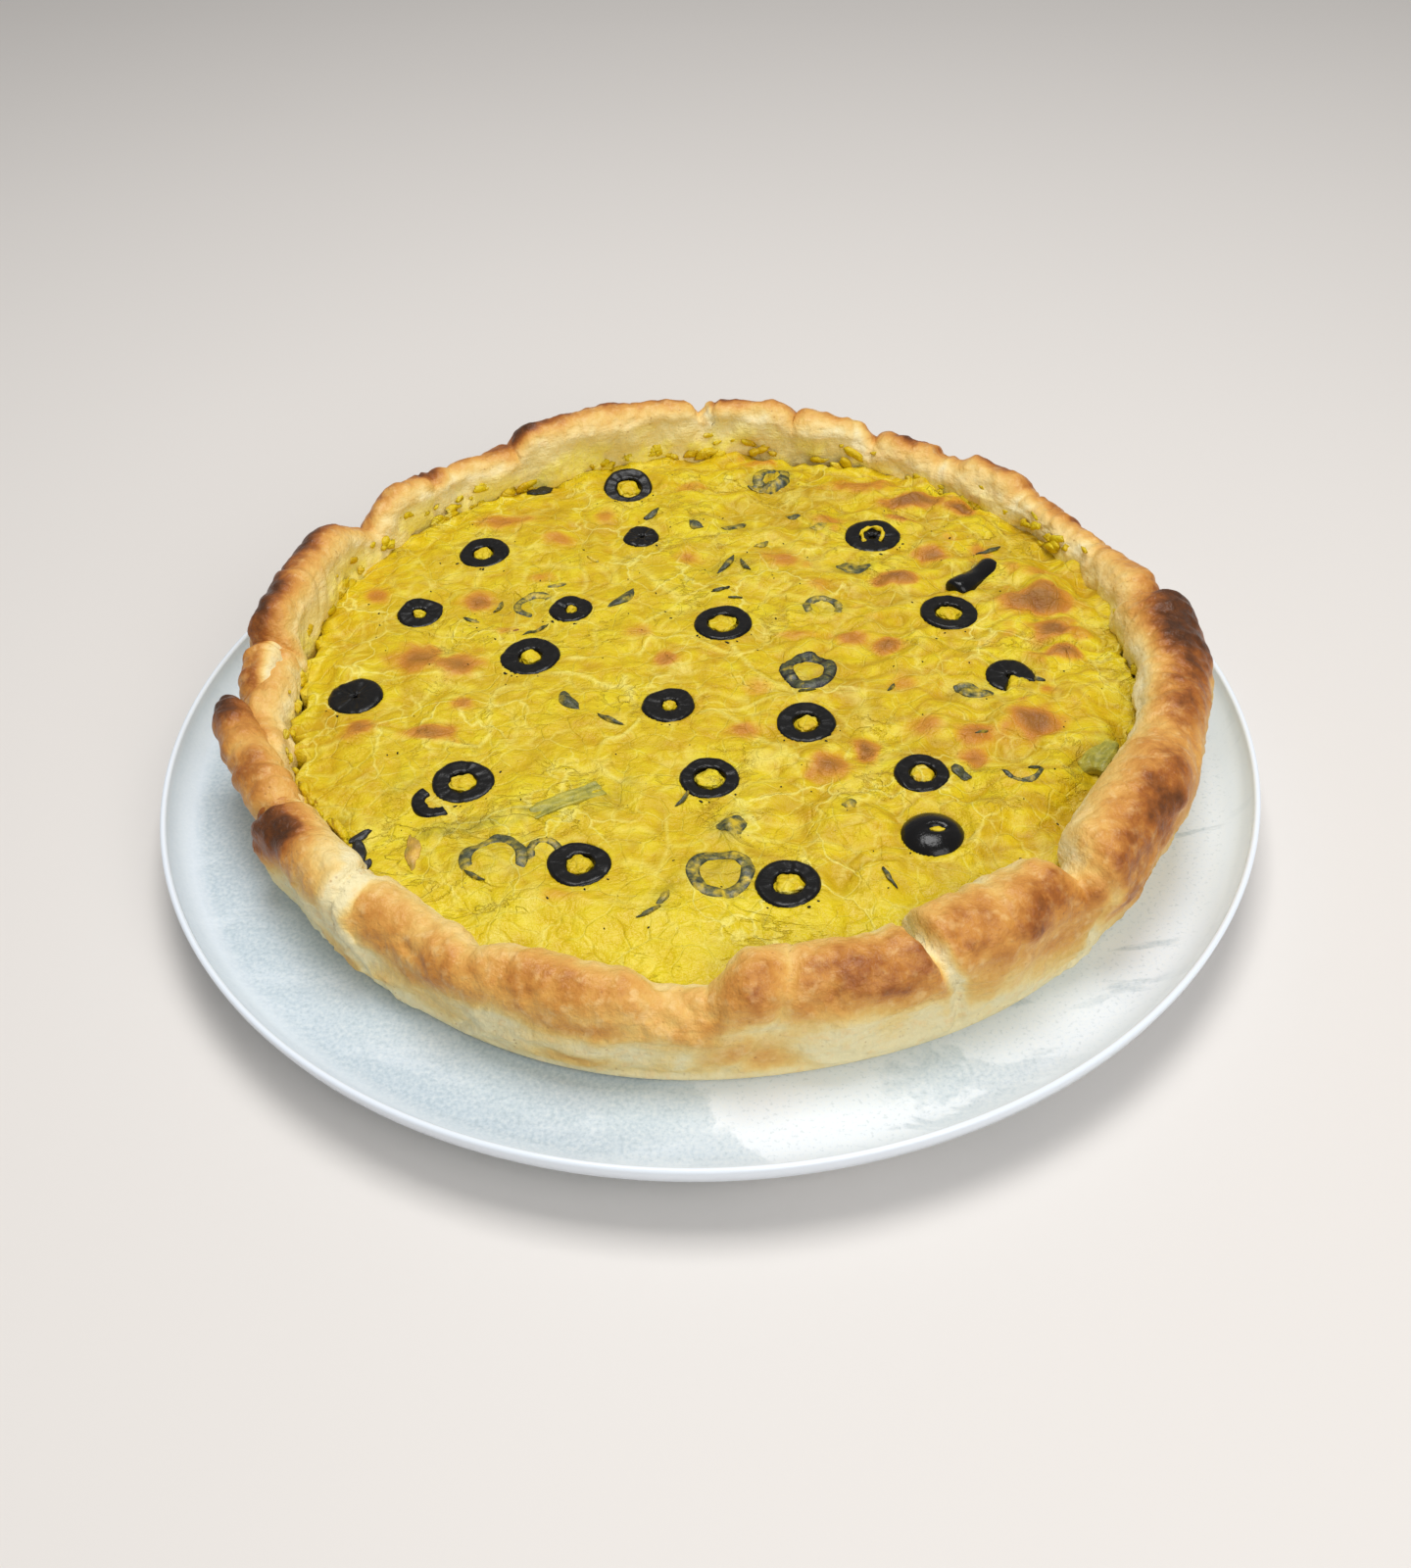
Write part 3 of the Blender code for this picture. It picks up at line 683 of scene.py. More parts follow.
def makeCrust(shape):
    columns = shape["columns"]
    angle = (np.arange(columns) / columns * 2 * np.pi)[:, None]
    radius, rise, browning, share = crustSection(shape, angle)
    rows = radius.shape[1]
    crust = addPrimitive(bpy.ops.mesh.primitive_grid_add, "pastryCrust",
                         x_subdivisions=columns, y_subdivisions=rows - 1, size=2)
    sheet = getPlaces(crust)
    column = np.rint((sheet[:, 0] + 1) / 2 * columns).astype(int) % columns
    row = np.rint((sheet[:, 1] + 1) / 2 * (rows - 1)).astype(int)
    taken = column * rows + row

    # relief goes along the surface's own outward direction
    grid = np.stack([radius * np.cos(angle), radius * np.sin(angle), rise], axis=-1)
    alongRing = np.roll(grid, -1, axis=0) - np.roll(grid, 1, axis=0)
    outward = np.cross(alongRing, np.gradient(grid, axis=1))
    outward /= np.maximum(np.linalg.norm(outward, axis=-1, keepdims=True), 1e-9)
    flat, outward = grid.reshape(-1, 3), outward.reshape(-1, 3)
    heights = share.ravel()
    turns = (np.degrees(angle) + 0 * share).ravel()
    roll = ease((heights - 0.40) / 0.14) * ease((1.0 - heights) / 0.10)
    wall = ease(heights / 0.10) * ease((0.58 - heights) / 0.2)
    relief, wrinkled = doughRelief(flat, heights, roll, wall)
    seams, pale = seamRelief(flat, heights, turns)
    relief += seams

    bake = crustBrowning(flat, heights, turns, browning.ravel())
    outside = ease((0.92 - heights) / 0.15)
    bake += (0.09 * grain(flat, 0.021, 8.4) + 0.38 * grain(flat * upright, 0.017, 14.0) * wall) * outside
    bake += (0.11 * grain(flat, 0.0075, 2.9) + 0.10 * grain(flat, 0.0034, 4.9)) * (0.4 + 0.6 * roll)
    bake += 0.06 * np.clip(relief, -1.5, 1.5) * roll + 0.05 * wrinkled * roll - 0.55 * pale
    inside = ease((heights - 0.80) / 0.08)
    bake = np.minimum(bake * (1 - 0.75 * inside) + 0.06 * inside, 0.97)
    smear, gap = smearAndGapShade(flat, heights, turns)
    relief += 0.9 * np.maximum(smear - 0.35, 0)
    # painted shade in the gap: where the filling has pulled away, the inner wall loses its smear and is
    # browned much darker
    smear *= 1 - 0.85 * gap
    bake += 0.75 * gap

    moved = flat + outward * (relief * mm)[:, None]
    moved[:, 2] = np.clip(moved[:, 2], 0.0, tart["top"] - tart["z"] + 0.0004)
    moved += tartMiddle
    setPlaces(crust, moved[taken])
    addValues(crust, bake=np.clip(bake, 0, 1.1)[taken], smear=smear[taken])
    closeUp(crust, 0.000005)
    return crust


def pastryPaint():
    paint = Paint("bakedPastry", Roughness=0.5, **{"Specular IOR Level": 0.27})
    # the browning, which on the crust's inner wall also holds painted shade in the gap
    bake = paint.value("bake")
    patches = paint.noise(150, detail=5, roughness=0.6)
    fine = paint.noise(620, detail=3, roughness=0.6)
    streaks = paint.noise(1.0, detail=4, roughness=0.6, stretch=(70, 70, 420))
    level = bake + (patches - 0.5) * 0.15 + (fine - 0.5) * 0.20 + (streaks - 0.5) * (1.05 - bake) * 0.22
    colour = paint.ramp(level, [
        (0.00, tone(236, 222, 174)), (0.16, tone(237, 211, 143)), (0.32, tone(229, 188, 106)),
        (0.48, tone(219, 163, 82)), (0.62, tone(200, 136, 62)), (0.76, tone(158, 92, 37)),
        (0.88, tone(114, 64, 27)), (1.00, tone(74, 43, 23)),
    ])
    blisters = paint.noise(330, detail=3)
    colour = paint.mix(paint.between(blisters, 0.54, 0.68, 0.0, 0.45) * paint.between(level, 0.85, 0.50),
                       colour, tone(238, 202, 138))
    smear = paint.value("smear")
    colour = paint.mix(smear * 0.80, colour, paint.mix(paint.between(fine, 0.35, 0.65), tone(248, 232, 84),
                                                       tone(244, 228, 122)))
    pits = paint.spots(480)
    colour = paint.mix(paint.between(pits, 0.10, 0.22, 0.5, 0.0) * paint.between(patches, 0.5, 0.65),
                       colour, tone(150, 92, 44))
    paint.to("Base Color", colour)
    paint.to("Roughness", paint.between(level, 0.1, 0.6, 0.50, 0.36))
    height = fine * 0.8 + streaks * (1.1 - bake) * 0.9 + blisters * 1.1
    paint.to("Normal", paint.bump(height, 0.8, 0.0007))
    return paint.material


# ends of rolls that lie free on the left: direction, distance from the middle, height (millimetres)
# of the points along each, with the radius there, then how brown its first and last ends are
looseRolls = {
    "rollTip": {"points": ((184.6, 140.0, 28.6, 4.4), (188.0, 138.0, 27.6, 5.6), (194.0, 134.2, 25.4, 6.8),
                           (201.0, 131.0, 23.4, 7.4), (208.0, 129.0, 20.5, 7.0)),
                "brown": (1.0, 0.52), "ridges": 0.34},
    "rollKnob": {"points": ((174.8, 131.4, 28.0, 4.4), (178.0, 132.2, 29.0, 5.6), (182.0, 132.2, 27.0, 5.6),
                            (186.0, 131.4, 22.5, 5.0)),
                 "brown": (0.80, 0.62), "ridges": 0.20, "paleInside": 0.75},
}


def makeRoll(name, settings, seed):
    roll = addPrimitive(bpy.ops.mesh.primitive_uv_sphere_add, name, segments=112, ring_count=150, radius=1)
    ball = getPlaces(roll)
    share = np.arccos(np.clip(-ball[:, 2], -1, 1)) / np.pi
    turn = np.arctan2(ball[:, 1], ball[:, 0])
    points = np.array(settings["points"])
    steps = np.linspace(0, 1, len(points))
    smooth = share * 0.92 + 0.08 * ease(share)
    direction = np.radians(np.interp(smooth, steps, points[:, 0]))
    distance = np.interp(smooth, steps, points[:, 1]) * mm
    lift = np.interp(smooth, steps, points[:, 2]) * mm
    wide = np.interp(smooth, steps, points[:, 3]) * mm
    wide = wide * (1 - np.abs(2 * share - 1) ** 3.6) ** (1 / 2.6)
    outward = np.stack([np.cos(direction), np.sin(direction), 0 * direction], axis=-1)
    spine = outward * distance[:, None]
    spine[:, 2] = lift
    shell = outward * np.cos(turn)[:, None] + np.array([0, 0, 1]) * np.sin(turn)[:, None]
    moved = spine + shell * wide[:, None]
    relief = 1.2 * grain(moved, 0.013, seed) + 0.7 * np.abs(grain(moved, 0.006, seed + 3))
    relief += 0.35 * grain(moved, 0.0032, seed + 5)
    relief += settings["ridges"] * np.sin(share * 46 + 5 * grain(moved, 0.014, seed + 7))
    moved += shell * (relief * mm * np.clip(wide / 0.004, 0, 1))[:, None]
    first, last = settings["brown"]
    bake = last + (first * 1.1 - last) * np.exp(-(share / 0.36) ** 2)
    bake += 0.26 * grain(moved, 0.009, seed + 9) + 0.06 * relief - 0.22 * ease(-np.sin(turn) * 1.2)
    bake -= settings.get("paleInside", 0.1) * ease(-np.cos(turn) * 1.3 + 0.15)
    setPlaces(roll, moved + tartMiddle)
    addValues(roll, bake=np.clip(bake, 0, 1), smear=0)
    closeUp(roll)
    return roll


print("crust")
pastry = pastryPaint()
for number, (name, settings) in enumerate(looseRolls.items()):
    finishPiece(makeRoll(name, settings, 5.0 + 11 * number), pastry)
crust = makeCrust(crustShape)
finishPiece(crust, pastry, ["crust"])


# the filling: a disc of wrinkled skin that dips towards the front edge

# slices of olive: widths of slice and hole, wobble, lean to the front and to the right (degrees), how far
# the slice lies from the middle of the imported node, and from and to which direction the skin covers it
oliveSlices = {
    "olive_01": {"hole": 6.4, "wobble": 0.05, "lean": 20, "side": 2},
    "olive_02": {"width": 12.0, "hole": 0.8, "wobble": 0.10, "lean": 4, "side": 3},
    "olive_05": {"width": 13.5, "hole": 2.8, "wobble": 0.10, "lean": 2, "side": 2, "dx": 0.6},
    "olive_10": {"width": 18.4, "hole": 1.4, "wobble": 0.05, "lean": 5, "side": 0},
    "olive_15": {"width": 16.6, "hole": 6.8, "wobble": 0.06, "lean": 2, "side": 2},
    "olive_03": {"hole": 5.0, "wobble": 0.06, "lean": 6, "side": -3},
    "olive_04": {"hole": 3.2, "wobble": 0.12, "lean": 8, "side": 4},
    "olive_06": {"hole": 5.6, "wobble": 0.05, "lean": 2, "side": -2},
    "olive_07": {"hole": 0.6, "wobble": 0.08, "lean": 3, "side": -2},
    "olive_08": {"hole": 3.6, "wobble": 0.10, "lean": 2, "side": 3},
    "olive_09": {"hole": 7.4, "wobble": 0.04, "lean": 0, "side": 0},
    "olive_12": {"hole": 6.6, "wobble": 0.05, "lean": 0, "side": 2},
    "olive_14": {"hole": 6.0, "wobble": 0.05, "lean": 3, "side": -1},
    "olive_16": {"hole": 5.8, "wobble": 0.06, "lean": 0, "side": 2},
    "olive_18": {"hole": 6.4, "wobble": 0.05, "lean": 0, "side": -1},
    "olive_19": {"hole": 6.0, "wobble": 0.09, "lean": 0, "side": 1},
    "olive_20": {"hole": 5.8, "wobble": 0.07, "lean": 6, "side": 0},
    "olive_13": {"width": 15.0, "hole": 1.6, "from": 250, "to": 330, "dy": -0.7, "wobble": 0.07},
}

# toasted places, in millimetres on the plate: x, y, half sizes, browning, height of the bump
toasts = [
    (-97.8, -14.0, 5, 5, 0.55, 0.3), (-77.2, -17.2, 8, 4, 0.55, 0.3), (-84.3, 18.0, 8, 7, 0.60, 0.5),
    (-71.8, 14.1, 7, 6, 0.60, 0.5), (-69.0, -4.6, 4, 4, 0.45, 0.3), (-68.3, 46.7, 6, 5, 0.60, 0.4),
    (-11.3, 12.2, 5, 4, 0.50, 0.3), (-18.6, 26.0, 5, 4, 0.35, 0.3), (-101.5, 53.4, 5, 5, 0.45, 0.3),
    (-37.2, -83.1, 8, 4, 0.28, 0.6), (101.0, 32.9, 12, 6, 0.95, 1.1), (103.4, 18.9, 7, 4.5, 0.80, 0.8),
    (105.1, 8.6, 6, 3, 0.65, 0.5), (91.2, -23.1, 8, 6, 0.95, 1.0), (53.6, 15.0, 5, 3.5, 0.62, 0.5),
    (43.6, 18.8, 6, 4, 0.48, 0.4), (32.2, -38.9, 6, 5, 0.62, 0.3), (43.0, -31.7, 3.5, 6, 0.66, 0.4),
    (10.2, -21.7, 6, 4, 0.42, 0.3), (74.5, -27.5, 7, 5, 0.50, 0.6), (72.1, -36.1, 5, 4, 0.52, 0.4),
    (60.0, 49.5, 8, 3.5, 0.66, 0.6), (73.6, 61.9, 6, 4, 0.62, 0.5), (60.8, -23.9, 6, 5, 0.36, 0.4),
    (83.6, 13.0, 7, 5, 0.22, 0.9), (28.0, 21.9, 7, 3, 0.36, 0.5), (56.3, -4.0, 6, 4, 0.30, 0.4),
    (72.5, 94.3, 13, 3.5, 0.80, 1.0), (86.0, 90.5, 6, 4, 0.80, 0.9), (84.0, 58.0, 9, 6, 0.22, 1.0),
    (26.6, 62.7, 6, 5, 0.42, 0.4), (55.4, 105.9, 13, 6, 0.42, 0.8), (89.0, 66.0, 4, 4, 0.40, 0.4),
    (-64.6, 92.3, 9, 5, 0.45, 0.5), (-30.4, 91.8, 5, 6, 0.34, 0.4), (-44.8, 79.1, 6, 4, 0.38, 0.4),
    (-4.1, 66.8, 5, 4, 0.38, 0.3), (42.0, 84.0, 7, 4, 0.40, 0.5), (36.0, 46.0, 5, 4, 0.30, 0.3),
    (-50.0, 58.0, 5, 4, 0.30, 0.3), (15.0, -2.0, 5, 4, 0.28, 0.3), (-60.0, 30.0, 5, 3, 0.28, 0.2),
    (66.0, 84.0, 6, 3, 0.55, 0.6), (104.0, 50.0, 6, 5, 0.35, 0.8), (97.0, -8.0, 5, 3, 0.36, 0.5),
]

# lumps and hollows of the skin without browning: x, y, half sizes, height
swells = [
    (99.0, 43.0, 15, 11, 1.5), (82.0, -6.0, 20, 12, 0.6), (-82.8, -39.6, 7, 5, 1.0),
    (17.0, -49.0, 10, 7, 0.5), (-60.0, -62.0, 24, 3, -0.9), (-48.0, -66.0, 22, 5, 0.7),
    (-20.0, -90.0, 26, 6, 0.6), (58.0, 100.0, 26, 8, 0.8), (-108.0, 30.0, 6, 26, 0.7),
    (20.0, -98.0, 40, 5, -0.4), (-40.0, -20.0, 30, 22, 0.4), (-2.0, -60.0, 24, 9, 0.3),
]

# grey-green shadows of what lies under the skin: two ends, half width, strength
shadows = [
    (-74, -58, -46, -52, 3.4, 0.55), (-30, -50.5, -22, -44, 5.0, 0.30), (-84, -41, -80, -38, 4.0, 0.35),
    (4, -62, 7, -59, 4.2, 0.55), (22, 113, 29, 114, 5.5, 0.50), (45, 57, 51, 58, 4.2, 0.45),
    (33, 34, 41, 35, 4.4, 0.30), (26, 4, 34, 4, 7.0, 0.28), (-2, -77, 6, -78, 7.0, 0.26),
    (-62, -69, -49, -70, 6.0, 0.26), (-54, 44, -49, 45, 5.0, 0.26), (72, -9, 80, -8, 4.4, 0.30),
    (100, -44, 112, -30, 5.0, 0.35), (10, 83, 14, 83, 4.0, 0.35), (-76, -64, -79, -62, 3.0, 0.30),
    (-14, -88, -10, -80, 3.0, 0.35), (34, 80, 40, 80, 3.2, 0.30), (66, -45, 69, -42, 3.0, 0.30),
    (84, 53, 90, 56, 3.0, 0.25), (-99, -52, -97, -48, 3.0, 0.30), (5.0, 60, 14, 62, 4.0, 0.30),
]

fillingShape = {"faces": 306, "overlap": 0.0009, "side": 0.007}


def seatsOfOlives():
    # middle, radius, top and covered directions of each slice
    found = []
    for name, ring in oliveSlices.items():
        low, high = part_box(name)
        radius = ring.get("width", (high.x - low.x) / mm) * mm / 2
        tilt = math.sin(math.radians(ring.get("lean", 3))) * radius
        found.append((*middleOf(name, ring.get("dx", 0), ring.get("dy", 0)), radius, high.z - tilt,
                      ring.get("from", 0), ring.get("to", 0)))
    low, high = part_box("olive_17")
    found.append((*middleOf("olive_17"), (high.x - low.x) / 2, high.z - 0.0022, 0, 0))
    return found


oliveSeats = seatsOfOlives()


def awayFrom(x, y, middleX, middleY, wide, deep):
    # 0 in the middle of an oval place in millimetres, 1 at its edge
    return ((x / mm - middleX) / wide) ** 2 + ((y / mm - middleY) / deep) ** 2


def skinLevel(x, y, part, edge):
    # the broad rise and fall of the skin, down to its edge
    across = np.stack([x, y, 0 * x], axis=-1)
    level = tart["fillingLevel"] + 0.0010 * (1 - part * part)
    level = level + 0.0009 * grain(across * 24 + (0, 0, 3.7), 1.0)
    level = level + 0.0004 * grain(across * 60 + (0, 0, 9.1), 1.0)
    return level + (edge - level) * ease((part - 0.80) / 0.20) ** 2


def skinLumps(x, y, flat):
    # lumps, creases and domes in millimetres, then how rough the skin is, its creases and its domes
    rough = 0.45 + 0.55 * ease((x + 0.02) / 0.08) + 0.25 * ease((y - 0.05) / 0.05)
    rough = rough * (1 - 0.5 * ease((-0.075 - y) / 0.02))
    relief = 2.3 * grain(flat, 0.014, 4.0) * rough + 1.7 * grain(flat, 0.0075, 6.5) * rough
    creases = np.maximum(1 - np.abs(grain(flat * (0.70, 1.20, 1.0), 0.0085, 12.0)) * 5.5, 0)
    relief -= 0.80 * creases * rough * ease(grain(flat, 0.03, 2.0) * 3 + 0.6)
    relief += 0.34 * grain(flat, 0.0032, 15.0)
    domes = domeCells(wander(flat, 0.005, 0.018, 33.0, 43.0) * (0.85, 1.15, 1.0), 0.0125, 8.0)
    swollen = ease(grain(flat, 0.035, 17.0) * 3 + 0.75)
    relief += (2.1 + 0.9 * ease((x + 0.01) / 0.05)) * (domes - 0.5) * rough * swollen
    return relief, rough, creases, domes


def skinCracks(x, y, flat):
    # cracks stand up left of the middle and are sunk elsewhere
    pushed = wander(flat, 0.004, 0.012, 31.0, 41.0)
    middleLeft = np.exp(-((x + 0.030) / 0.062) ** 2 - ((y + 0.004) / 0.055) ** 2)
    crack = np.maximum(1 - cells(pushed, 0.030, 2.0) / 0.050, 0) * np.clip(0.25 + middleLeft, 0, 1)
    crack *= ease(grain(flat, 0.020, 51.0) * 4 + 1.3)
    fine = np.maximum(1 - cells(pushed, 0.0125, 5.0) / 0.10, 0)
    fine *= ease(grain(flat, 0.016, 61.0) * 4 + 0.45) * 0.7
    return 0.60 * crack * middleLeft - 0.30 * fine - 0.25 * crack * (1 - middleLeft), crack, fine


def skinToasts(x, y, flat, domes):
    # toasted places stand up a little, and so does what has swollen without browning
    relief, toast = 0 * x, 0 * x
    for middleX, middleY, wide, deep, strength, bump in toasts:
        away = awayFrom(x, y, middleX, middleY, wide, deep)
        ragged = 1 + 0.9 * grain(flat, 0.005, middleX)
        toast = np.maximum(toast, min(1.35 * strength, 1) * np.exp(-away * ragged))
        relief += 1.2 * bump * np.exp(-away * 0.8)
    for middleX, middleY, wide, deep, bump in swells:
        relief += bump * np.exp(-awayFrom(x, y, middleX, middleY, wide, deep))
    # the tops of domes are browned at the back right
    heat = ease((x + y - 0.02) / 0.10) * ease(grain(flat, 0.020, 57.0) * 4 + 0.3)
    return relief, np.maximum(toast, 0.42 * heat * ease((domes - 0.62) / 0.3))


def skinShadow(x, y):
    shadow = 0 * x
    for firstX, firstY, lastX, lastY, wide, strength in shadows:
        line = np.array([lastX - firstX, lastY - firstY]) * mm
        along = ((x - firstX * mm) * line[0] + (y - firstY * mm) * line[1]) / (line @ line)
        along = np.clip(along, 0, 1)
        away = np.hypot(x - firstX * mm - along * line[0], y - firstY * mm - along * line[1])
        shadow = np.maximum(shadow, strength * ease(1.4 - away / (wide * mm)))
    return shadow


def fillingSkin(x, y):
    # height, browning, cracks, shadows, wet parts and painted shade in the hollows of the skin at points on
    # the plate
    fromX, fromY = x - tart["x"], y - tart["y"]
    angle = np.arctan2(fromY, fromX)
    reach = contactRadius(angle)
    part = np.minimum(np.hypot(fromX, fromY) / reach, 1.0)
    flat = np.stack([x, y, 0 * x], axis=-1)
    lumps, rough, creases, domes = skinLumps(x, y, flat)
    cracks, crack, fineCrack = skinCracks(x, y, flat)
    bumps, toast = skinToasts(x, y, flat, domes)

    # the edge is crumbly where it has pulled away, and sinks there
    gap = crevice(angle)
    lip = bellAt((1 - part) * reach - gap, 0.002, 0.003) * ease(gap / 0.002)
    relief = lumps + cracks + bumps + lip * (0.8 + 1.5 * grain(flat, 0.004, 71.0))
    height = tart["z"] + skinLevel(fromX, fromY, part, fillingEdge(angle)) + relief * mm

    # round a slice the skin lies just under its face, and it is thin over a covered part
    for middleX, middleY, radius, top, first, last in oliveSeats:
        away = np.hypot(x - middleX, y - middleY)
        covered = 0
        if last > first:
            direction = np.degrees(np.arctan2(y - middleY, x - middleX))
            covered = ease(((last - first) / 2 - np.abs(turnFrom(direction, (first + last) / 2))) / 9)
        near = ease(1 - (away - radius) / 0.004)
        under = ease((radius - 0.0003 - away) / 0.0012)
        height = height + (top - 0.0008 - height) * near * 0.85 * (1 - covered)
        height = height + (top - 0.0026 - height) * under * (1 - covered)
        height = height + (top + 0.0001 - height) * covered * near
        toast = toast * (1 - 0.7 * near)
        crack = crack * (1 - near)
    wet = ease((-0.070 - y) / 0.022) * 0.8 + lip
    # painted shade: the skin is darkened in its creases and in the low ground between domes
    hollow = creases * rough + 0.7 * ease((0.30 - domes) / 0.30) * rough
    crack = np.maximum(crack, 0.6 * fineCrack)
    return height, toast, crack, skinShadow(x, y), np.clip(wet, 0, 1), np.clip(hollow, 0, 1)


def makeFilling(shape):
    filling = addPrimitive(bpy.ops.mesh.primitive_grid_add, "eggFilling",
                           x_subdivisions=shape["faces"], y_subdivisions=shape["faces"], size=2)
    sheet = getPlaces(filling)
    acrossX, acrossY = sheet[:, 0], sheet[:, 1]
    discX = acrossX * np.sqrt(1 - acrossY ** 2 / 2)
    discY = acrossY * np.sqrt(1 - acrossX ** 2 / 2)
    angle = np.arctan2(discY, discX)
    reach = contactRadius(angle) + shape["overlap"] - crevice(angle)
    radius = np.hypot(discX, discY) * reach
    x = tart["x"] + radius * np.cos(angle)
    y = tart["y"] + radius * np.sin(angle)
    height, toast, crack, shadow, wet, hollow = fillingSkin(x, y)
    setPlaces(filling, np.stack([x, y, height], axis=-1))
    addValues(filling, toast=toast, crack=crack, shadow=shadow, wet=wet, hollow=hollow)

    def closeUnder():
        bpy.ops.mesh.select_mode(type="EDGE")
        bpy.ops.mesh.select_all(action="SELECT")
        bpy.ops.mesh.region_to_loop()
        bpy.ops.mesh.extrude_edges_move()
        bpy.ops.transform.translate(value=(0, 0, -shape["side"]))
        bpy.ops.mesh.extrude_edges_move()
        bpy.ops.transform.resize(value=(0.97, 0.97, 1), center_override=(tart["x"], tart["y"], 0))
        bpy.ops.transform.translate(value=(0, 0, -shape["side"]))
        bpy.ops.mesh.edge_face_add()
        bpy.ops.mesh.select_all(action="SELECT")
        bpy.ops.mesh.normals_make_consistent(inside=False)

    inEditMode(filling, closeUnder)
    return filling


def custardPaint():
    paint = Paint("yellowCustard", Roughness=0.45, **{"Specular IOR Level": 0.38})
    toast, crack = paint.value("toast"), paint.value("crack")
    shadow, wet = paint.value("shadow"), paint.value("wet")
    cloud = paint.noise(38, detail=4, roughness=0.6)
    curds = paint.noise(190, detail=4, roughness=0.6, distortion=0.4)
    fine = paint.noise(800, detail=3, roughness=0.65)
    creases = paint.noise(120, detail=4, roughness=0.6, stretch=(0.9, 1.3, 1.0), distortion=0.3)
    colour = paint.ramp(cloud * 0.5 + curds * 0.42 + creases * 0.08, [
        (0.34, tone(198, 153, 4)), (0.45, tone(211, 178, 6)), (0.55, tone(218, 192, 12)),
        (0.66, tone(226, 208, 38)),
    ])
    # painted shade in the hollows of the skin
    colour = paint.mix(paint.value("hollow") * paint.between(curds, 0.3, 0.6, 0.35, 0.75), colour,
                       tone(178, 134, 10))
    colour = paint.mix(wet * 0.5, colour, tone(226, 207, 26))
    colour = paint.mix(crack * 0.85, colour, tone(240, 226, 112))
    vein = paint.borders(115, at=paint.warp(60, 0.012))
    colour = paint.mix(paint.between(vein, 0.0, 0.045, 0.45, 0.0) * paint.between(curds, 0.4, 0.6),
                       colour, tone(240, 224, 108))
    folds = paint.noise(62, detail=5, roughness=0.62, stretch=(0.8, 1.3, 1.0), distortion=0.5)
    small = paint.noise(150, detail=2, stretch=(0.8, 1.3, 1.0), distortion=0.3)
    # painted shade: thin grooves in the skin are darkened, and the same lines are sunk by the bump below
    shadedGrooves = paint.between(abs(folds - 0.5), 0.0, 0.024, 1.0, 0.0) * paint.between(cloud, 0.46, 0.58)
    fineShadedGrooves = paint.between(abs(small - 0.5), 0.0, 0.030, 0.45, 0.0)
    shadedGrooves = shadedGrooves + fineShadedGrooves * paint.between(folds, 0.50, 0.62)
    colour = paint.mix(shadedGrooves * 0.30, colour, tone(170, 126, 8))
    split = paint.borders(44, at=paint.warp(90, 0.016))
    broken = paint.between(split, 0.0, 0.028, 0.75, 0.0) * paint.between(paint.noise(26), 0.46, 0.60)
    colour = paint.mix(broken, colour, tone(242, 229, 120))
    share = paint.between(toast * (0.35 + 1.3 * curds), 0.16, 0.46)
    colour = paint.mix(share * 0.90, colour, paint.ramp(toast, [
        (0.25, tone(212, 150, 30)), (0.55, tone(190, 118, 36)), (0.90, tone(138, 78, 34))]))
    veil = paint.noise(260, detail=4, roughness=0.65)
    colour = paint.mix(shadow * paint.between(veil, 0.32, 0.68), colour, tone(112, 108, 42))
    dots = paint.spots(360)
    colour = paint.mix(paint.between(dots, 0.05, 0.11, 0.75, 0.0) * paint.between(cloud, 0.42, 0.60),
                       colour, tone(96, 78, 20))
    colour = paint.mix(paint.between(fine, 0.60, 0.80, 0.0, 0.25), colour, tone(186, 136, 18))
    paint.to("Base Color", colour)
    paint.to("Roughness", paint.between(curds + wet * -0.25, 0.2, 0.7, 0.36, 0.56))
    height = folds * 2.6 - shadedGrooves * 0.45 + curds * 1.5 + broken * 0.35 + fine * 0.4
    height = height + creases * 0.8 - paint.between(vein, 0.0, 0.05, 0.25, 0.0)
    paint.to("Normal", paint.bump(height, 0.9, 0.0008))
    return paint.material


print("filling")
custard = custardPaint()
finishPiece(makeFilling(fillingShape), custard, ["filling"])


# black olives: slices with a flat cut face and a glossy skin

oliveShape = {"around": 72, "section": 22, "thickness": 0.0042}


def seatPiece(piece, x, y, top, lean, side=0.0, turn=0.0):
    # tilts a piece made round the origin and sets its upper face at that height
    place = (Matrix.Translation(Vector((x, y, top)))
             @ Matrix.Rotation(math.radians(lean), 4, "X")
             @ Matrix.Rotation(math.radians(side), 4, "Y")
             @ Matrix.Rotation(math.radians(turn), 4, "Z"))
    piece.matrix_world = place


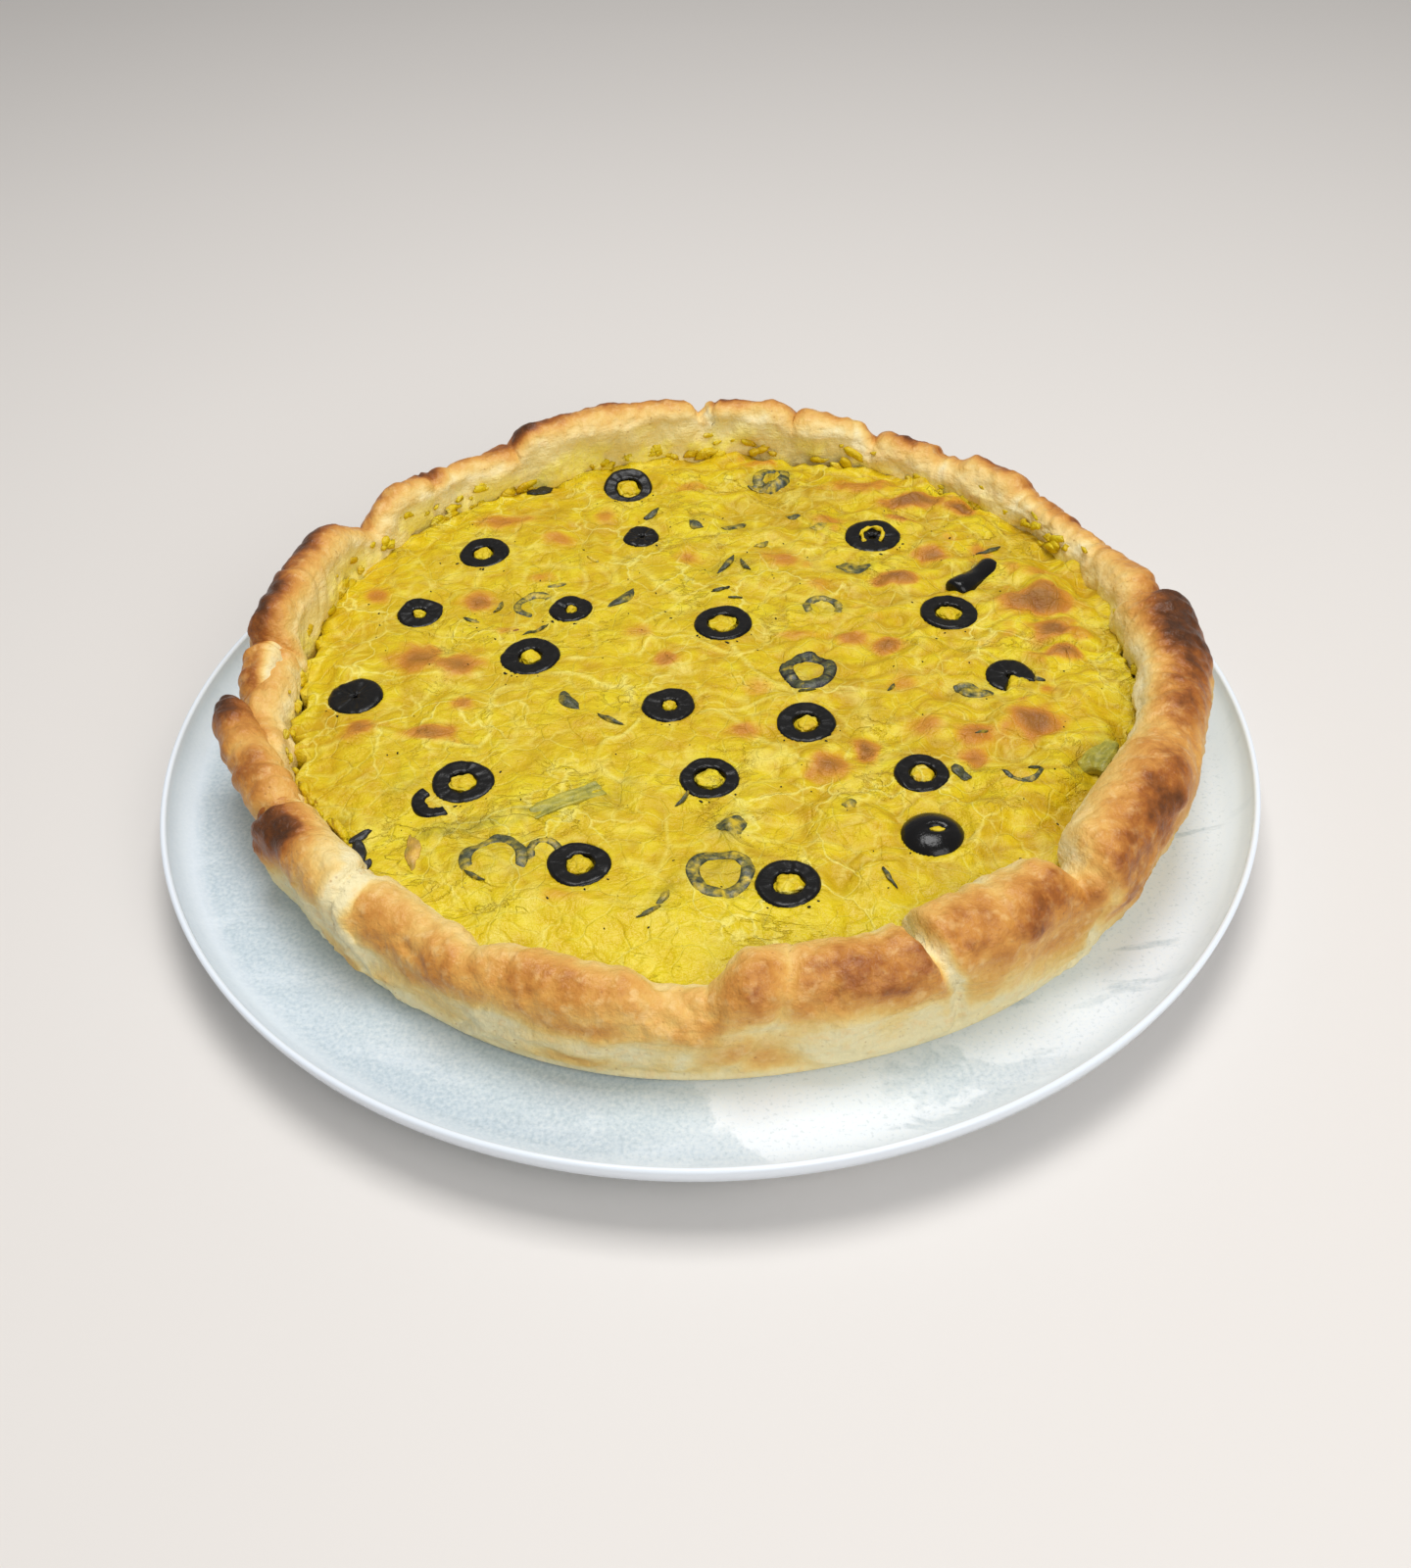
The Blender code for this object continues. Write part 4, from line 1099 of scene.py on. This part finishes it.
def makeRing(name, width, hole, wobble, covered, seed):
    shape = oliveShape
    ring = addPrimitive(bpy.ops.mesh.primitive_torus_add, name, major_segments=shape["around"],
                        minor_segments=shape["section"], major_radius=1.0, minor_radius=0.25)
    donut = getPlaces(ring)
    angle = np.arctan2(donut[:, 1], donut[:, 0])
    across = (np.hypot(donut[:, 0], donut[:, 1]) - 1.0) / 0.25
    up = donut[:, 2] / 0.25
    around = np.stack([np.cos(angle), np.sin(angle), 0 * angle + seed * 0.37], axis=-1)
    outer = width / 2 * mm * (1 + wobble * 1.4 * grain(around, 0.9))
    holeRadius = max(hole / 2 * 1.20, 0.30) * mm * (1 + 2.2 * wobble * grain(around, 0.6, 5.0))
    shiftX = 0.10 * hole * mm * noise.noise(Vector((seed, 1.5, 0.5)))
    middle = (outer + holeRadius) / 2
    half = (outer - holeRadius) / 2
    squareAcross = np.sign(across) * np.abs(across) ** 0.72
    squareUp = np.sign(up) * np.abs(up) ** np.where(across > 0, 0.70, 0.45)
    radius = middle + half * squareAcross
    height = shape["thickness"] / 2 * squareUp
    dish = 0.00045 * np.exp(-((squareAcross + 0.15) / 0.65) ** 2) * (up > 0)
    height = height - dish + 0.00022 * grain(around * 4, 1.0, 9.0) * (up > 0)
    x = radius * np.cos(angle) + shiftX * (across < 0)
    y = radius * np.sin(angle)
    height = height - shape["thickness"] / 2
    if covered[1] > covered[0]:
        reach = (covered[1] - covered[0]) / 2
        away = np.abs(turnFrom(np.degrees(angle), (covered[0] + covered[1]) / 2))
        height = height - 0.0026 * ease((reach - away) / 7 + 0.4)
    flat = np.stack([x, y, height], axis=-1)
    nicks = np.maximum(np.abs(grain(flat, 0.0045, seed)) - 0.38, 0) * 0.0010
    height = height - nicks * (up > 0.2)
    setPlaces(ring, np.stack([x, y, height], axis=-1))
    addValues(ring, cut=ease((up - 0.35) / 0.4) * ease((0.92 - across) / 0.25))
    return ring


def makeDrop(name, wide, deep, high, rough, seed, level=4):
    # an uneven blob round the origin
    drop = addPrimitive(bpy.ops.mesh.primitive_ico_sphere_add, name, subdivisions=level, radius=1.0)
    ball = getPlaces(drop)
    swell = 1 + rough * (1.3 * grain(ball, 0.9, seed) + 0.7 * grain(ball, 0.42, seed + 4))
    setPlaces(drop, ball * swell[:, None] * np.array([wide, deep, high]))
    return drop


def olivePaint():
    paint = Paint("blackOlive", Roughness=0.25, **{"Specular IOR Level": 0.28})
    cut = paint.value("cut")
    grainy = paint.noise(420, detail=4, roughness=0.6)
    patches = paint.noise(140, detail=3)
    skin = paint.mix(patches, tone(9, 8, 9), tone(17, 16, 16))
    flesh = paint.mix(paint.between(grainy, 0.35, 0.7), tone(7, 6, 6), tone(19, 17, 15))
    paint.to("Base Color", paint.mix(cut * 0.85, skin, flesh))
    paint.to("Roughness", paint.between(grainy * 0.6 + cut * 0.4, 0.2, 0.8, 0.16, 0.36))
    paint.to("Normal", paint.bump(grainy + patches * 0.5, 0.45, 0.0004))
    return paint.material


print("olives")
blackOlive = olivePaint()
inHoles = []
seatOf = dict(zip(oliveSlices, oliveSeats))
for number, (name, ring) in enumerate(sorted(oliveSlices.items())):
    x, y, radius, top, first, last = seatOf[name]
    lean, side = ring.get("lean", 3), ring.get("side", 0)
    olive = makeRing("slice" + name[5:], 2 * radius / mm, ring["hole"], ring["wobble"],
                     (first, last), number + 1.3)
    seatPiece(olive, x, y, top, lean, side)
    finishPiece(olive, blackOlive, [name])
    if ring["hole"] > 2:
        hole = ring["hole"] / 2 * mm
        plug = makeDrop("inHole", hole * 1.12, hole * 1.06, 0.0016, 0.26, number * 3.1)
        seatPiece(plug, x, y - 0.08 * hole, top - 0.0012, lean, side)
        inHoles.append(plug)

plugs = joinPieces(inHoles, "fillingInHoles")
finishPiece(plugs, custard)


def makeCap(name, node, settings):
    # the domed end of an olive with the slot of its stone hole; gives back what shows in the slot
    low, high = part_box(node)
    cap = addPrimitive(bpy.ops.mesh.primitive_uv_sphere_add, name, segments=88, ring_count=56, radius=1)
    ball = getPlaces(cap)
    radius = (high.x - low.x) / 2
    tall = (high.z - low.z) * settings["dome"]
    flatness = np.where(ball[:, 2] > 0, 1.0, settings["under"])
    swell = 1 + 0.02 * grain(ball, 0.8, 3.0)
    slotX, slotLength, slotWidth = settings["slot"]
    slot = np.exp(-((ball[:, 0] - slotX) / slotLength) ** 2 - ((ball[:, 1] + 0.02) / slotWidth) ** 2)
    slot = slot * (ball[:, 2] > 0)
    height = ball[:, 2] * flatness * tall - settings["slotDepth"] * mm * slot
    setPlaces(cap, np.stack([ball[:, 0] * radius * swell, ball[:, 1] * radius * swell, height], axis=-1))
    addValues(cap, cut=slot * 0.8)
    cap.location = (*middleOf(node), high.z - tall)
    finishPiece(cap, blackOlive, [node])
    bit = makeDrop("inSlot", 0.0023, 0.0010, 0.0007, 0.3, 4.2, level=3)
    bit.location = (*middleOf(node, slotX * radius / mm), high.z - 0.0015)
    return bit


def makeCurl(name, node, settings):
    # a piece of olive rolled on itself, with a waist
    curl = addPrimitive(bpy.ops.mesh.primitive_uv_sphere_add, name, segments=72, ring_count=84, radius=1)
    ball = getPlaces(curl)
    along = ball[:, 2]
    square = np.sign(along) * (1 - (1 - np.abs(along)) ** 1.7)
    waist = 1 - settings["waist"] * np.exp(-((along - 0.05) / 0.32) ** 2)
    body = (1 - np.abs(along) ** 4.5) ** 0.5 / np.maximum(np.hypot(ball[:, 0], ball[:, 1]), 1e-6) * waist
    wide, tall = settings["width"] / 2 * mm, settings["height"] / 2 * mm
    x = square * settings["length"] / 2 * mm
    y = ball[:, 0] * body * wide + settings["bend"] * mm * along ** 2
    z = ball[:, 1] * body * tall
    places = np.stack([x, y, z], axis=-1)
    wrinkles = 0.45 * grain(places * np.array([0.6, 1, 1]), 0.0022, 3.0) + 0.5 * grain(places, 0.005, 8.0)
    ends = np.abs(along) > 0.93
    places[:, 1:] *= (1 + 0.10 * wrinkles * ~ends)[:, None]
    setPlaces(curl, places)
    addValues(curl, cut=0.5 * ends)
    closeUp(curl)
    seatPiece(curl, *middleOf(node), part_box(node)[1].z - tall * 1.05, 0, 0, settings["turn"])
    finishPiece(curl, blackOlive, [node])


def makeArc(name, node, settings):
    # filling that shows as an arc on a slice, and sinks into it at the far side
    arc = addPrimitive(bpy.ops.mesh.primitive_torus_add, name, major_segments=64, minor_segments=14,
                       major_radius=settings["radius"] * mm, minor_radius=settings["thickness"] * mm)
    places = getPlaces(arc)
    direction = np.degrees(np.arctan2(places[:, 1], places[:, 0]))
    hidden = ease((np.abs(turnFrom(direction, settings["middle"])) - 5) / -60 + 1.0)
    places[:, 2] -= settings["sink"] * mm * hidden
    places += (grain(places, 0.0018, 2.0) * 0.0006)[:, None]
    setPlaces(arc, places)
    seatPiece(arc, *middleOf(node, -0.1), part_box(node)[1].z - 0.0006, 5)
    finishPiece(arc, custard)


# the dome's share of the height and how deep it goes on below, as shares of the node; the slot's
# middle, length and width as shares of the radius, and its depth
capShape = {"dome": 0.86, "under": 0.35, "slot": (0.12, 0.26, 0.15), "slotDepth": 1.8}
# millimetres and degrees
curlShape = {"length": 19.5, "width": 8.4, "height": 6.2, "waist": 0.20, "bend": 0.8, "turn": 42}
chipShape = {"width": 13.4, "hole": 4.6, "wobble": 0.08, "covered": (-52, 128), "dx": 2.6, "dy": 3.0}
arcShape = {"radius": 3.4, "thickness": 0.60, "middle": 265, "sink": 3.0}

print("olive ends and curls")
finishPiece(makeCap("oliveEnd", "olive_17", capShape), custard)
makeCurl("oliveCurl", "olive_11", curlShape)

# a broken slice shows only its outer half beside a whole one
chip = makeRing("oliveChip", chipShape["width"], chipShape["hole"], chipShape["wobble"],
                chipShape["covered"], 31.7)
seatPiece(chip, *middleOf("olive_21", chipShape["dx"], chipShape["dy"]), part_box("olive_21")[1].z, 2, 1)
finishPiece(chip, blackOlive, ["olive_21"])
makeArc("arcInHole", "olive_10", arcShape)


# green pieces of courgette that show in the skin

def courgettePaint():
    paint = Paint("cookedCourgette", Roughness=0.42)
    place = paint.noise(170, detail=5, roughness=0.65, stretch=(0.5, 1.6, 1.0))
    veins = paint.noise(480, detail=4, roughness=0.7, distortion=0.6)
    colour = paint.ramp(place * 0.6 + veins * 0.4, [
        (0.36, tone(122, 120, 50)), (0.47, tone(156, 150, 56)), (0.57, tone(184, 172, 62)),
        (0.68, tone(212, 197, 86))])
    paint.to("Base Color", colour)
    paint.to("Roughness", paint.between(veins, 0.3, 0.7, 0.34, 0.52))
    paint.to("Normal", paint.bump(veins + place, 0.6, 0.0006))
    return paint.material


def makeSlab(name, node, settings):
    # a cut stick: a box with bevelled edges, roughened along its length
    slab = addPrimitive(bpy.ops.mesh.primitive_cube_add, name, size=1)
    slab.scale = (settings["length"] * mm, settings["width"] * mm, settings["height"] * mm)
    bpy.ops.object.transform_apply(scale=True)
    bevel = slab.modifiers.new("edges", "BEVEL")
    bevel.width = settings["edge"] * mm
    bevel.segments = 3
    applyModifiers(slab)
    inEditMode(slab, lambda: bpy.ops.mesh.subdivide(number_cuts=28))
    places = getPlaces(slab)
    streaked = places * np.array([0.35, 1.6, 1.0])
    rough = settings["rough"] * mm
    places[:, 2] += rough * (1.4 * grain(streaked, 0.0030, 2.0) + 0.8 * grain(places, 0.0055, 6.0))
    places[:, 1] += rough * 1.3 * grain(places, 0.0060, 9.0)
    places[:, 0] += rough * 1.5 * grain(places, 0.0035, 12.0)
    setPlaces(slab, places)
    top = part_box(node)[1].z - settings["height"] / 2 * mm - 0.0005
    seatPiece(slab, *middleOf(node), top, 0, 0, settings["turn"])
    finishPiece(slab, courgette, [node])


# millimetres and degrees
courgettePieces = {
    "courgetteStick": {"node": "courgette_strip", "length": 20.5, "width": 6.2, "height": 3.0,
                       "edge": 0.5, "rough": 0.55, "turn": 24},
    "courgettePiece": {"node": "courgette_chunk", "length": 13.0, "width": 9.0, "height": 4.6,
                       "edge": 1.6, "rough": 1.0, "turn": 58},
}

print("courgette")
courgette = courgettePaint()
for name, settings in courgettePieces.items():
    makeSlab(name, settings["node"], settings)


# what lies just under the skin: rings and slivers of olive, half covered by the filling

def sunkPaint():
    paint = Paint("coveredOlive", Roughness=0.42)
    show = paint.value("show")
    veil = paint.noise(300, detail=4, roughness=0.65)
    fine = paint.noise(900, detail=2)
    colour = paint.mix(paint.between(fine, 0.35, 0.7), tone(46, 50, 34), tone(86, 88, 52))
    colour = paint.mix(paint.between(show, 0.86, 0.98), colour, tone(20, 19, 18))
    cover = paint.between(veil + show * 0.55, 0.88, 0.60)
    colour = paint.mix(cover, colour, paint.mix(paint.between(veil, 0.4, 0.6), tone(205, 176, 40),
                                                tone(158, 146, 48)))
    paint.to("Base Color", colour)
    paint.to("Roughness", paint.between(fine, 0.3, 0.7, 0.36, 0.52))
    paint.to("Normal", paint.bump(veil + fine * 0.5, 0.5, 0.0005))
    return paint.material


def settle(piece, x, y, turn, lift):
    # lays a piece made round the origin on the skin, following its rise and fall
    places = getPlaces(piece)
    angle = math.radians(turn)
    acrossX = x * mm + places[:, 0] * math.cos(angle) - places[:, 1] * math.sin(angle)
    acrossY = y * mm + places[:, 0] * math.sin(angle) + places[:, 1] * math.cos(angle)
    height = fillingSkin(acrossX, acrossY)[0]
    setPlaces(piece, np.stack([acrossX, acrossY, height + places[:, 2] + lift * mm], axis=-1))
    return piece


# x, y, width, hole, from and to which direction it shows, how clearly (millimetres, degrees)
sunkRings = [
    (30.0, 3.8, 17.0, 8.4, 0, 360, 0.84), (1.9, -77.6, 17.5, 10.0, 0, 360, 0.46),
    (-55.5, -69.3, 18.0, 11.0, -20, 200, 0.44), (-51.4, 43.9, 13.5, 8.0, 40, 260, 0.44),
    (36.6, 34.3, 12.5, 7.0, -30, 200, 0.46), (25.3, 113.0, 13.5, 5.0, 0, 360, 0.46),
    (83.7, -44.0, 12.0, 9.0, 190, 350, 0.62), (-43.0, -67.5, 10.0, 5.0, 0, 210, 0.50),
]

# x, y, length, width, bend, turn, how clearly it shows
slivers = [
    (-39.0, -6.9, 9.0, 4.0, 1.4, -55, 0.80), (-26.9, -16.5, 8.5, 1.5, 0.4, -32, 0.75),
    (-24.3, 43.6, 11.0, 4.2, 1.0, 48, 0.62), (47.7, 57.4, 10.5, 6.4, 0.8, -12, 0.66),
    (67.2, -43.2, 6.5, 3.6, 0.5, -50, 0.85), (8.4, 61.6, 9.5, 2.4, 0.6, 55, 0.85),
    (14.0, 59.5, 6.0, 1.6, 0.4, -65, 0.85), (-15.2, 91.9, 7.5, 2.6, 0.5, 48, 0.90),
    (-0.9, 83.7, 5.5, 3.2, 0.5, -40, 0.80), (11.8, 82.8, 8.5, 4.4, 0.8, 12, 0.62),
    (92.0, 66.0, 9.0, 2.2, 0.4, 28, 0.85), (75.8, -8.3, 12.0, 6.0, 0.9, -18, 0.66),
    (5.5, -60.6, 8.0, 6.8, 0.2, 10, 0.52), (21.0, 109.0, 8.0, 3.4, 0.5, -15, 0.75),
    (-91.6, -63.6, 13.5, 3.8, 0.5, 98, 1.20), (-92.4, -57.6, 8.0, 2.8, 0.6, 30, 1.20),
    (-89.2, -68.0, 5.0, 2.4, 0.2, 60, 1.20), (-53.1, 114.6, 9.0, 5.4, 0.5, 20, 1.20),
    (-12.5, -86.0, 6.0, 2.4, 0.5, 62, 0.60), (-16.0, -91.0, 7.0, 1.2, 0.4, 25, 0.70),
    (44.0, -82.0, 6.5, 1.2, 0.2, -60, 0.90), (38.6, 79.6, 5.5, 4.0, 0.3, 20, 0.45),
    (-70.0, 36.0, 5.5, 2.0, 0.3, -20, 0.55), (6.0, 45.5, 6.0, 1.6, 0.4, 25, 0.90),
    (10.5, 41.5, 4.5, 1.4, 0.2, 10, 0.80), (53.0, -5.5, 5.0, 1.2, 0.3, 60, 0.60),
    (95.0, -3.5, 4.5, 1.2, 0.2, -15, 0.90), (87.0, -44.5, 4.0, 1.8, 0.2, 10, 0.85),
    (-60.5, -75.0, 6.0, 1.2, 0.2, -30, 0.75), (86.5, 54.0, 6.0, 3.0, 0.4, 40, 0.50),
    (36.5, -55.0, 4.0, 3.2, 0.2, 0, 0.45), (-62.0, 44.0, 7.0, 1.3, 0.8, 75, 0.75),
    (-50.0, 30.0, 9.0, 0.9, 0.5, 40, 0.80), (-45.0, 53.5, 6.5, 2.2, 0.4, 15, 0.55),
    (29.0, -6.0, 5.0, 0.8, 0.3, 10, 0.70), (-7.0, -49.5, 7.0, 1.0, 0.6, 55, 0.85),
    (75.5, -27.5, 4.0, 0.9, 0.2, 20, 0.60), (20.0, 72.0, 5.0, 2.4, 0.3, 30, 0.50),
    (31.0, 88.0, 5.5, 2.6, 0.4, -30, 0.60), (-34.0, 66.0, 4.5, 1.4, 0.2, -35, 0.40),
]

# a brown bit of dough in the skin, near the front left
doughBit = {"x": -77.5, "y": -63.7, "length": 9.5, "width": 3.6, "turn": 96}


def makeSunkRing(number, x, y, width, hole, first, last, show):
    ring = addPrimitive(bpy.ops.mesh.primitive_torus_add, "ring", major_segments=64, minor_segments=14,
                        major_radius=1.0, minor_radius=0.25)
    places = getPlaces(ring)
    direction = np.arctan2(places[:, 1], places[:, 0])
    across = (np.hypot(places[:, 0], places[:, 1]) - 1) / 0.25
    around = np.stack([np.cos(direction), np.sin(direction), 0 * direction + number], axis=-1)
    radius = (width + hole) / 4 + (width - hole) / 4 * across
    radius = radius * mm * (1 + 0.12 * grain(around, 0.8, 2.0))
    height = places[:, 2] / 0.25 * 0.55 * mm + 0.24 * mm * grain(around, 0.28, 7.0)
    if last - first < 360:
        away = np.abs(turnFrom(np.degrees(direction), (first + last) / 2))
        height = height - 0.9 * mm * ease((away - (last - first) / 2) / 12)
    setPlaces(ring, np.stack([radius * np.cos(direction), radius * np.sin(direction), height], axis=-1))
    outline = 0.30 * np.abs(across) ** 3 + 0.35 * grain(around, 0.20, 9.0)
    addValues(ring, show=np.clip(show + outline, 0, 1))
    return settle(ring, x, y, 0, -0.18)


def makeSliver(number, x, y, length, width, bend, turn, show):
    half = length / 2 * mm
    sliver = makeDrop("sliver", half, width / 2 * mm, 0.0007, 0.22, number * 2.7)
    places = getPlaces(sliver)
    share = places[:, 0] / half
    places[:, 1] = places[:, 1] * (1 - 0.35 * share ** 2) + bend * mm * (share ** 2 - 0.3)
    places[:, 2] += 0.3 * mm * grain(places, 0.003, number * 1.3)
    setPlaces(sliver, places)
    addValues(sliver, show=show - 0.2 + 0.3 * np.abs(share))
    return settle(sliver, x, y, turn, -0.05 if show < 0.7 else 0.25)


print("olive bits under the skin")
bits = [makeSunkRing(number, *ring) for number, ring in enumerate(sunkRings)]
bits += [makeSliver(number, *sliver) for number, sliver in enumerate(slivers)]
finishPiece(joinPieces(bits, "oliveBits"), sunkPaint())

bit = makeDrop("doughBit", doughBit["length"] / 2 * mm, doughBit["width"] / 2 * mm, 0.0008, 0.4, 2.2)
settle(bit, doughBit["x"], doughBit["y"], doughBit["turn"], 0.1)
addValues(bit, bake=0.74 + 0.3 * grain(getPlaces(bit), 0.003, 4.0), smear=0.35)
finishPiece(bit, pastry)


# crumbs of filling on the inner wall, and dark specks of herbs in the skin

# how many, the seed of the draws, and sizes in millimetres
crumbs = {"count": 170, "seed": 7, "size": (0.5, 1.8), "climb": 8.0}
herbs = {"count": 170, "seed": 8, "size": (0.12, 0.32), "reach": 114.0, "bySlices": 0.30}
# where crumbs lie along the wall: from and to which direction, and their share
crumbSpans = ((96, 172, 0.40), (172, 214, 0.16), (20, 96, 0.30), (340, 372, 0.14))


def makeCrumbs(settings):
    dice = np.random.default_rng(settings["seed"])
    pieces = []
    while len(pieces) < settings["count"]:
        draw = dice.random()
        for first, last, share in crumbSpans:
            if draw < share:
                break
            draw -= share
        direction = math.radians(dice.uniform(first, last))
        away = float(contactRadius(np.array([direction]))[0])
        up = dice.random() ** 1.6
        radius = away - 0.0014 + 0.0016 * up + dice.uniform(-0.0006, 0.0004)
        size = dice.uniform(*settings["size"]) * (1.15 - 0.5 * up) * mm
        crumb = makeDrop("crumb", size * dice.uniform(1.0, 2.6), size * 0.7, size, 0.5,
                         dice.uniform(0, 50), level=2)
        crumb.rotation_euler = (dice.uniform(-0.5, 0.5), dice.uniform(-0.5, 0.5), direction + 1.57)
        height = tart["z"] + float(fillingEdge(np.array([direction]))[0])
        crumb.location = (tart["x"] + radius * math.cos(direction), tart["y"] + radius * math.sin(direction),
                          height + 0.0005 + settings["climb"] * mm * up)
        pieces.append(crumb)
    return joinPieces(pieces, "fillingCrumbs")


def makeSpecks(settings):
    dice = np.random.default_rng(settings["seed"])
    count = settings["count"]
    direction = dice.uniform(0, 2 * np.pi, count)
    radius = settings["reach"] * mm * np.sqrt(dice.random(count))
    x = tart["x"] + radius * np.cos(direction)
    y = tart["y"] + radius * np.sin(direction)
    bySlices = dice.random(count) < settings["bySlices"]
    picks = dice.integers(0, len(oliveSeats), count)
    for number in np.nonzero(bySlices)[0]:
        seat = oliveSeats[picks[number]]
        beside = dice.uniform(-2.6, -0.4)
        x[number] = seat[0] + (seat[2] + 0.0012) * math.cos(beside)
        y[number] = seat[1] + (seat[2] + 0.0012) * math.sin(beside)
    height = fillingSkin(x, y)[0]
    pieces = []
    for number in range(count):
        size = dice.uniform(*settings["size"]) * mm * (1.4 if bySlices[number] else 1.0)
        speck = makeDrop("speck", size * dice.uniform(1, 2.2), size, size * 0.5, 0.3, number * 0.9, level=1)
        speck.rotation_euler = (0, 0, dice.uniform(0, 3.1))
        speck.location = (x[number], y[number], height[number] + 0.0001)
        pieces.append(speck)
    return joinPieces(pieces, "herbSpecks")


print("crumbs and specks")
finishPiece(makeCrumbs(crumbs), custard)
specks = makeSpecks(herbs)
addValues(specks, cut=0.5)
finishPiece(specks, blackOlive)


# camera, light and floor

studio = {
    "lens": 38.25, "cameraPlace": (-0.00098, -0.3797, 0.3293), "tilt": 0.7162, "roll": -0.0392,
    "floorColour": tone(226, 221, 216), "ambient": 0.32,
    # place, width and power
    "lights": {"key": ((0.02, 0.10, 1.05), 0.50, 7.2), "fill": ((0.45, -0.90, 0.75), 0.8, 6.4)},
}


def makeStudio(settings):
    floor = addPrimitive(bpy.ops.mesh.primitive_plane_add, "floor", size=8)
    paint = Paint("paleFloor", Roughness=0.7)
    cloud = paint.noise(3, detail=2)
    base = settings["floorColour"]
    darker = (base[0] * 0.97, base[1] * 0.97, base[2] * 0.97, 1.0)
    paint.to("Base Color", paint.mix(cloud, base, darker))
    floor.data.materials.append(paint.material)

    for name, (place, size, power) in settings["lights"].items():
        lamp = bpy.data.lights.new(name, "AREA")
        lamp.size = size
        lamp.energy = power
        holder = bpy.data.objects.new(name, lamp)
        bpy.context.scene.collection.objects.link(holder)
        holder.location = place
        aim = Vector((0, 0, 0.03)) - Vector(place)
        holder.rotation_euler = aim.to_track_quat("-Z", "Y").to_euler()

    world = bpy.data.worlds.new("studio")
    world.use_nodes = True
    world.node_tree.nodes["Background"].inputs["Color"].default_value = (1.0, 1.0, 1.0, 1.0)
    world.node_tree.nodes["Background"].inputs["Strength"].default_value = settings["ambient"]
    bpy.context.scene.world = world
    bpy.context.scene.view_settings.view_transform = "Standard"

    camera = bpy.data.cameras.new("camera")
    camera.lens = settings["lens"]
    camera.sensor_width = 36
    camera.clip_start = 0.01
    holder = bpy.data.objects.new("camera", camera)
    bpy.context.scene.collection.objects.link(holder)
    tilt, roll = settings["tilt"], settings["roll"]
    back = Vector((0, -math.cos(tilt), math.sin(tilt)))
    up = Vector((0, math.sin(tilt), math.cos(tilt)))
    right = Vector((1, 0, 0))
    turned = Matrix((right * math.cos(roll) + up * math.sin(roll),
                     up * math.cos(roll) - right * math.sin(roll), back)).transposed().to_4x4()
    holder.matrix_world = Matrix.Translation(Vector(settings["cameraPlace"])) @ turned
    bpy.context.scene.camera = holder


print("studio")
makeStudio(studio)
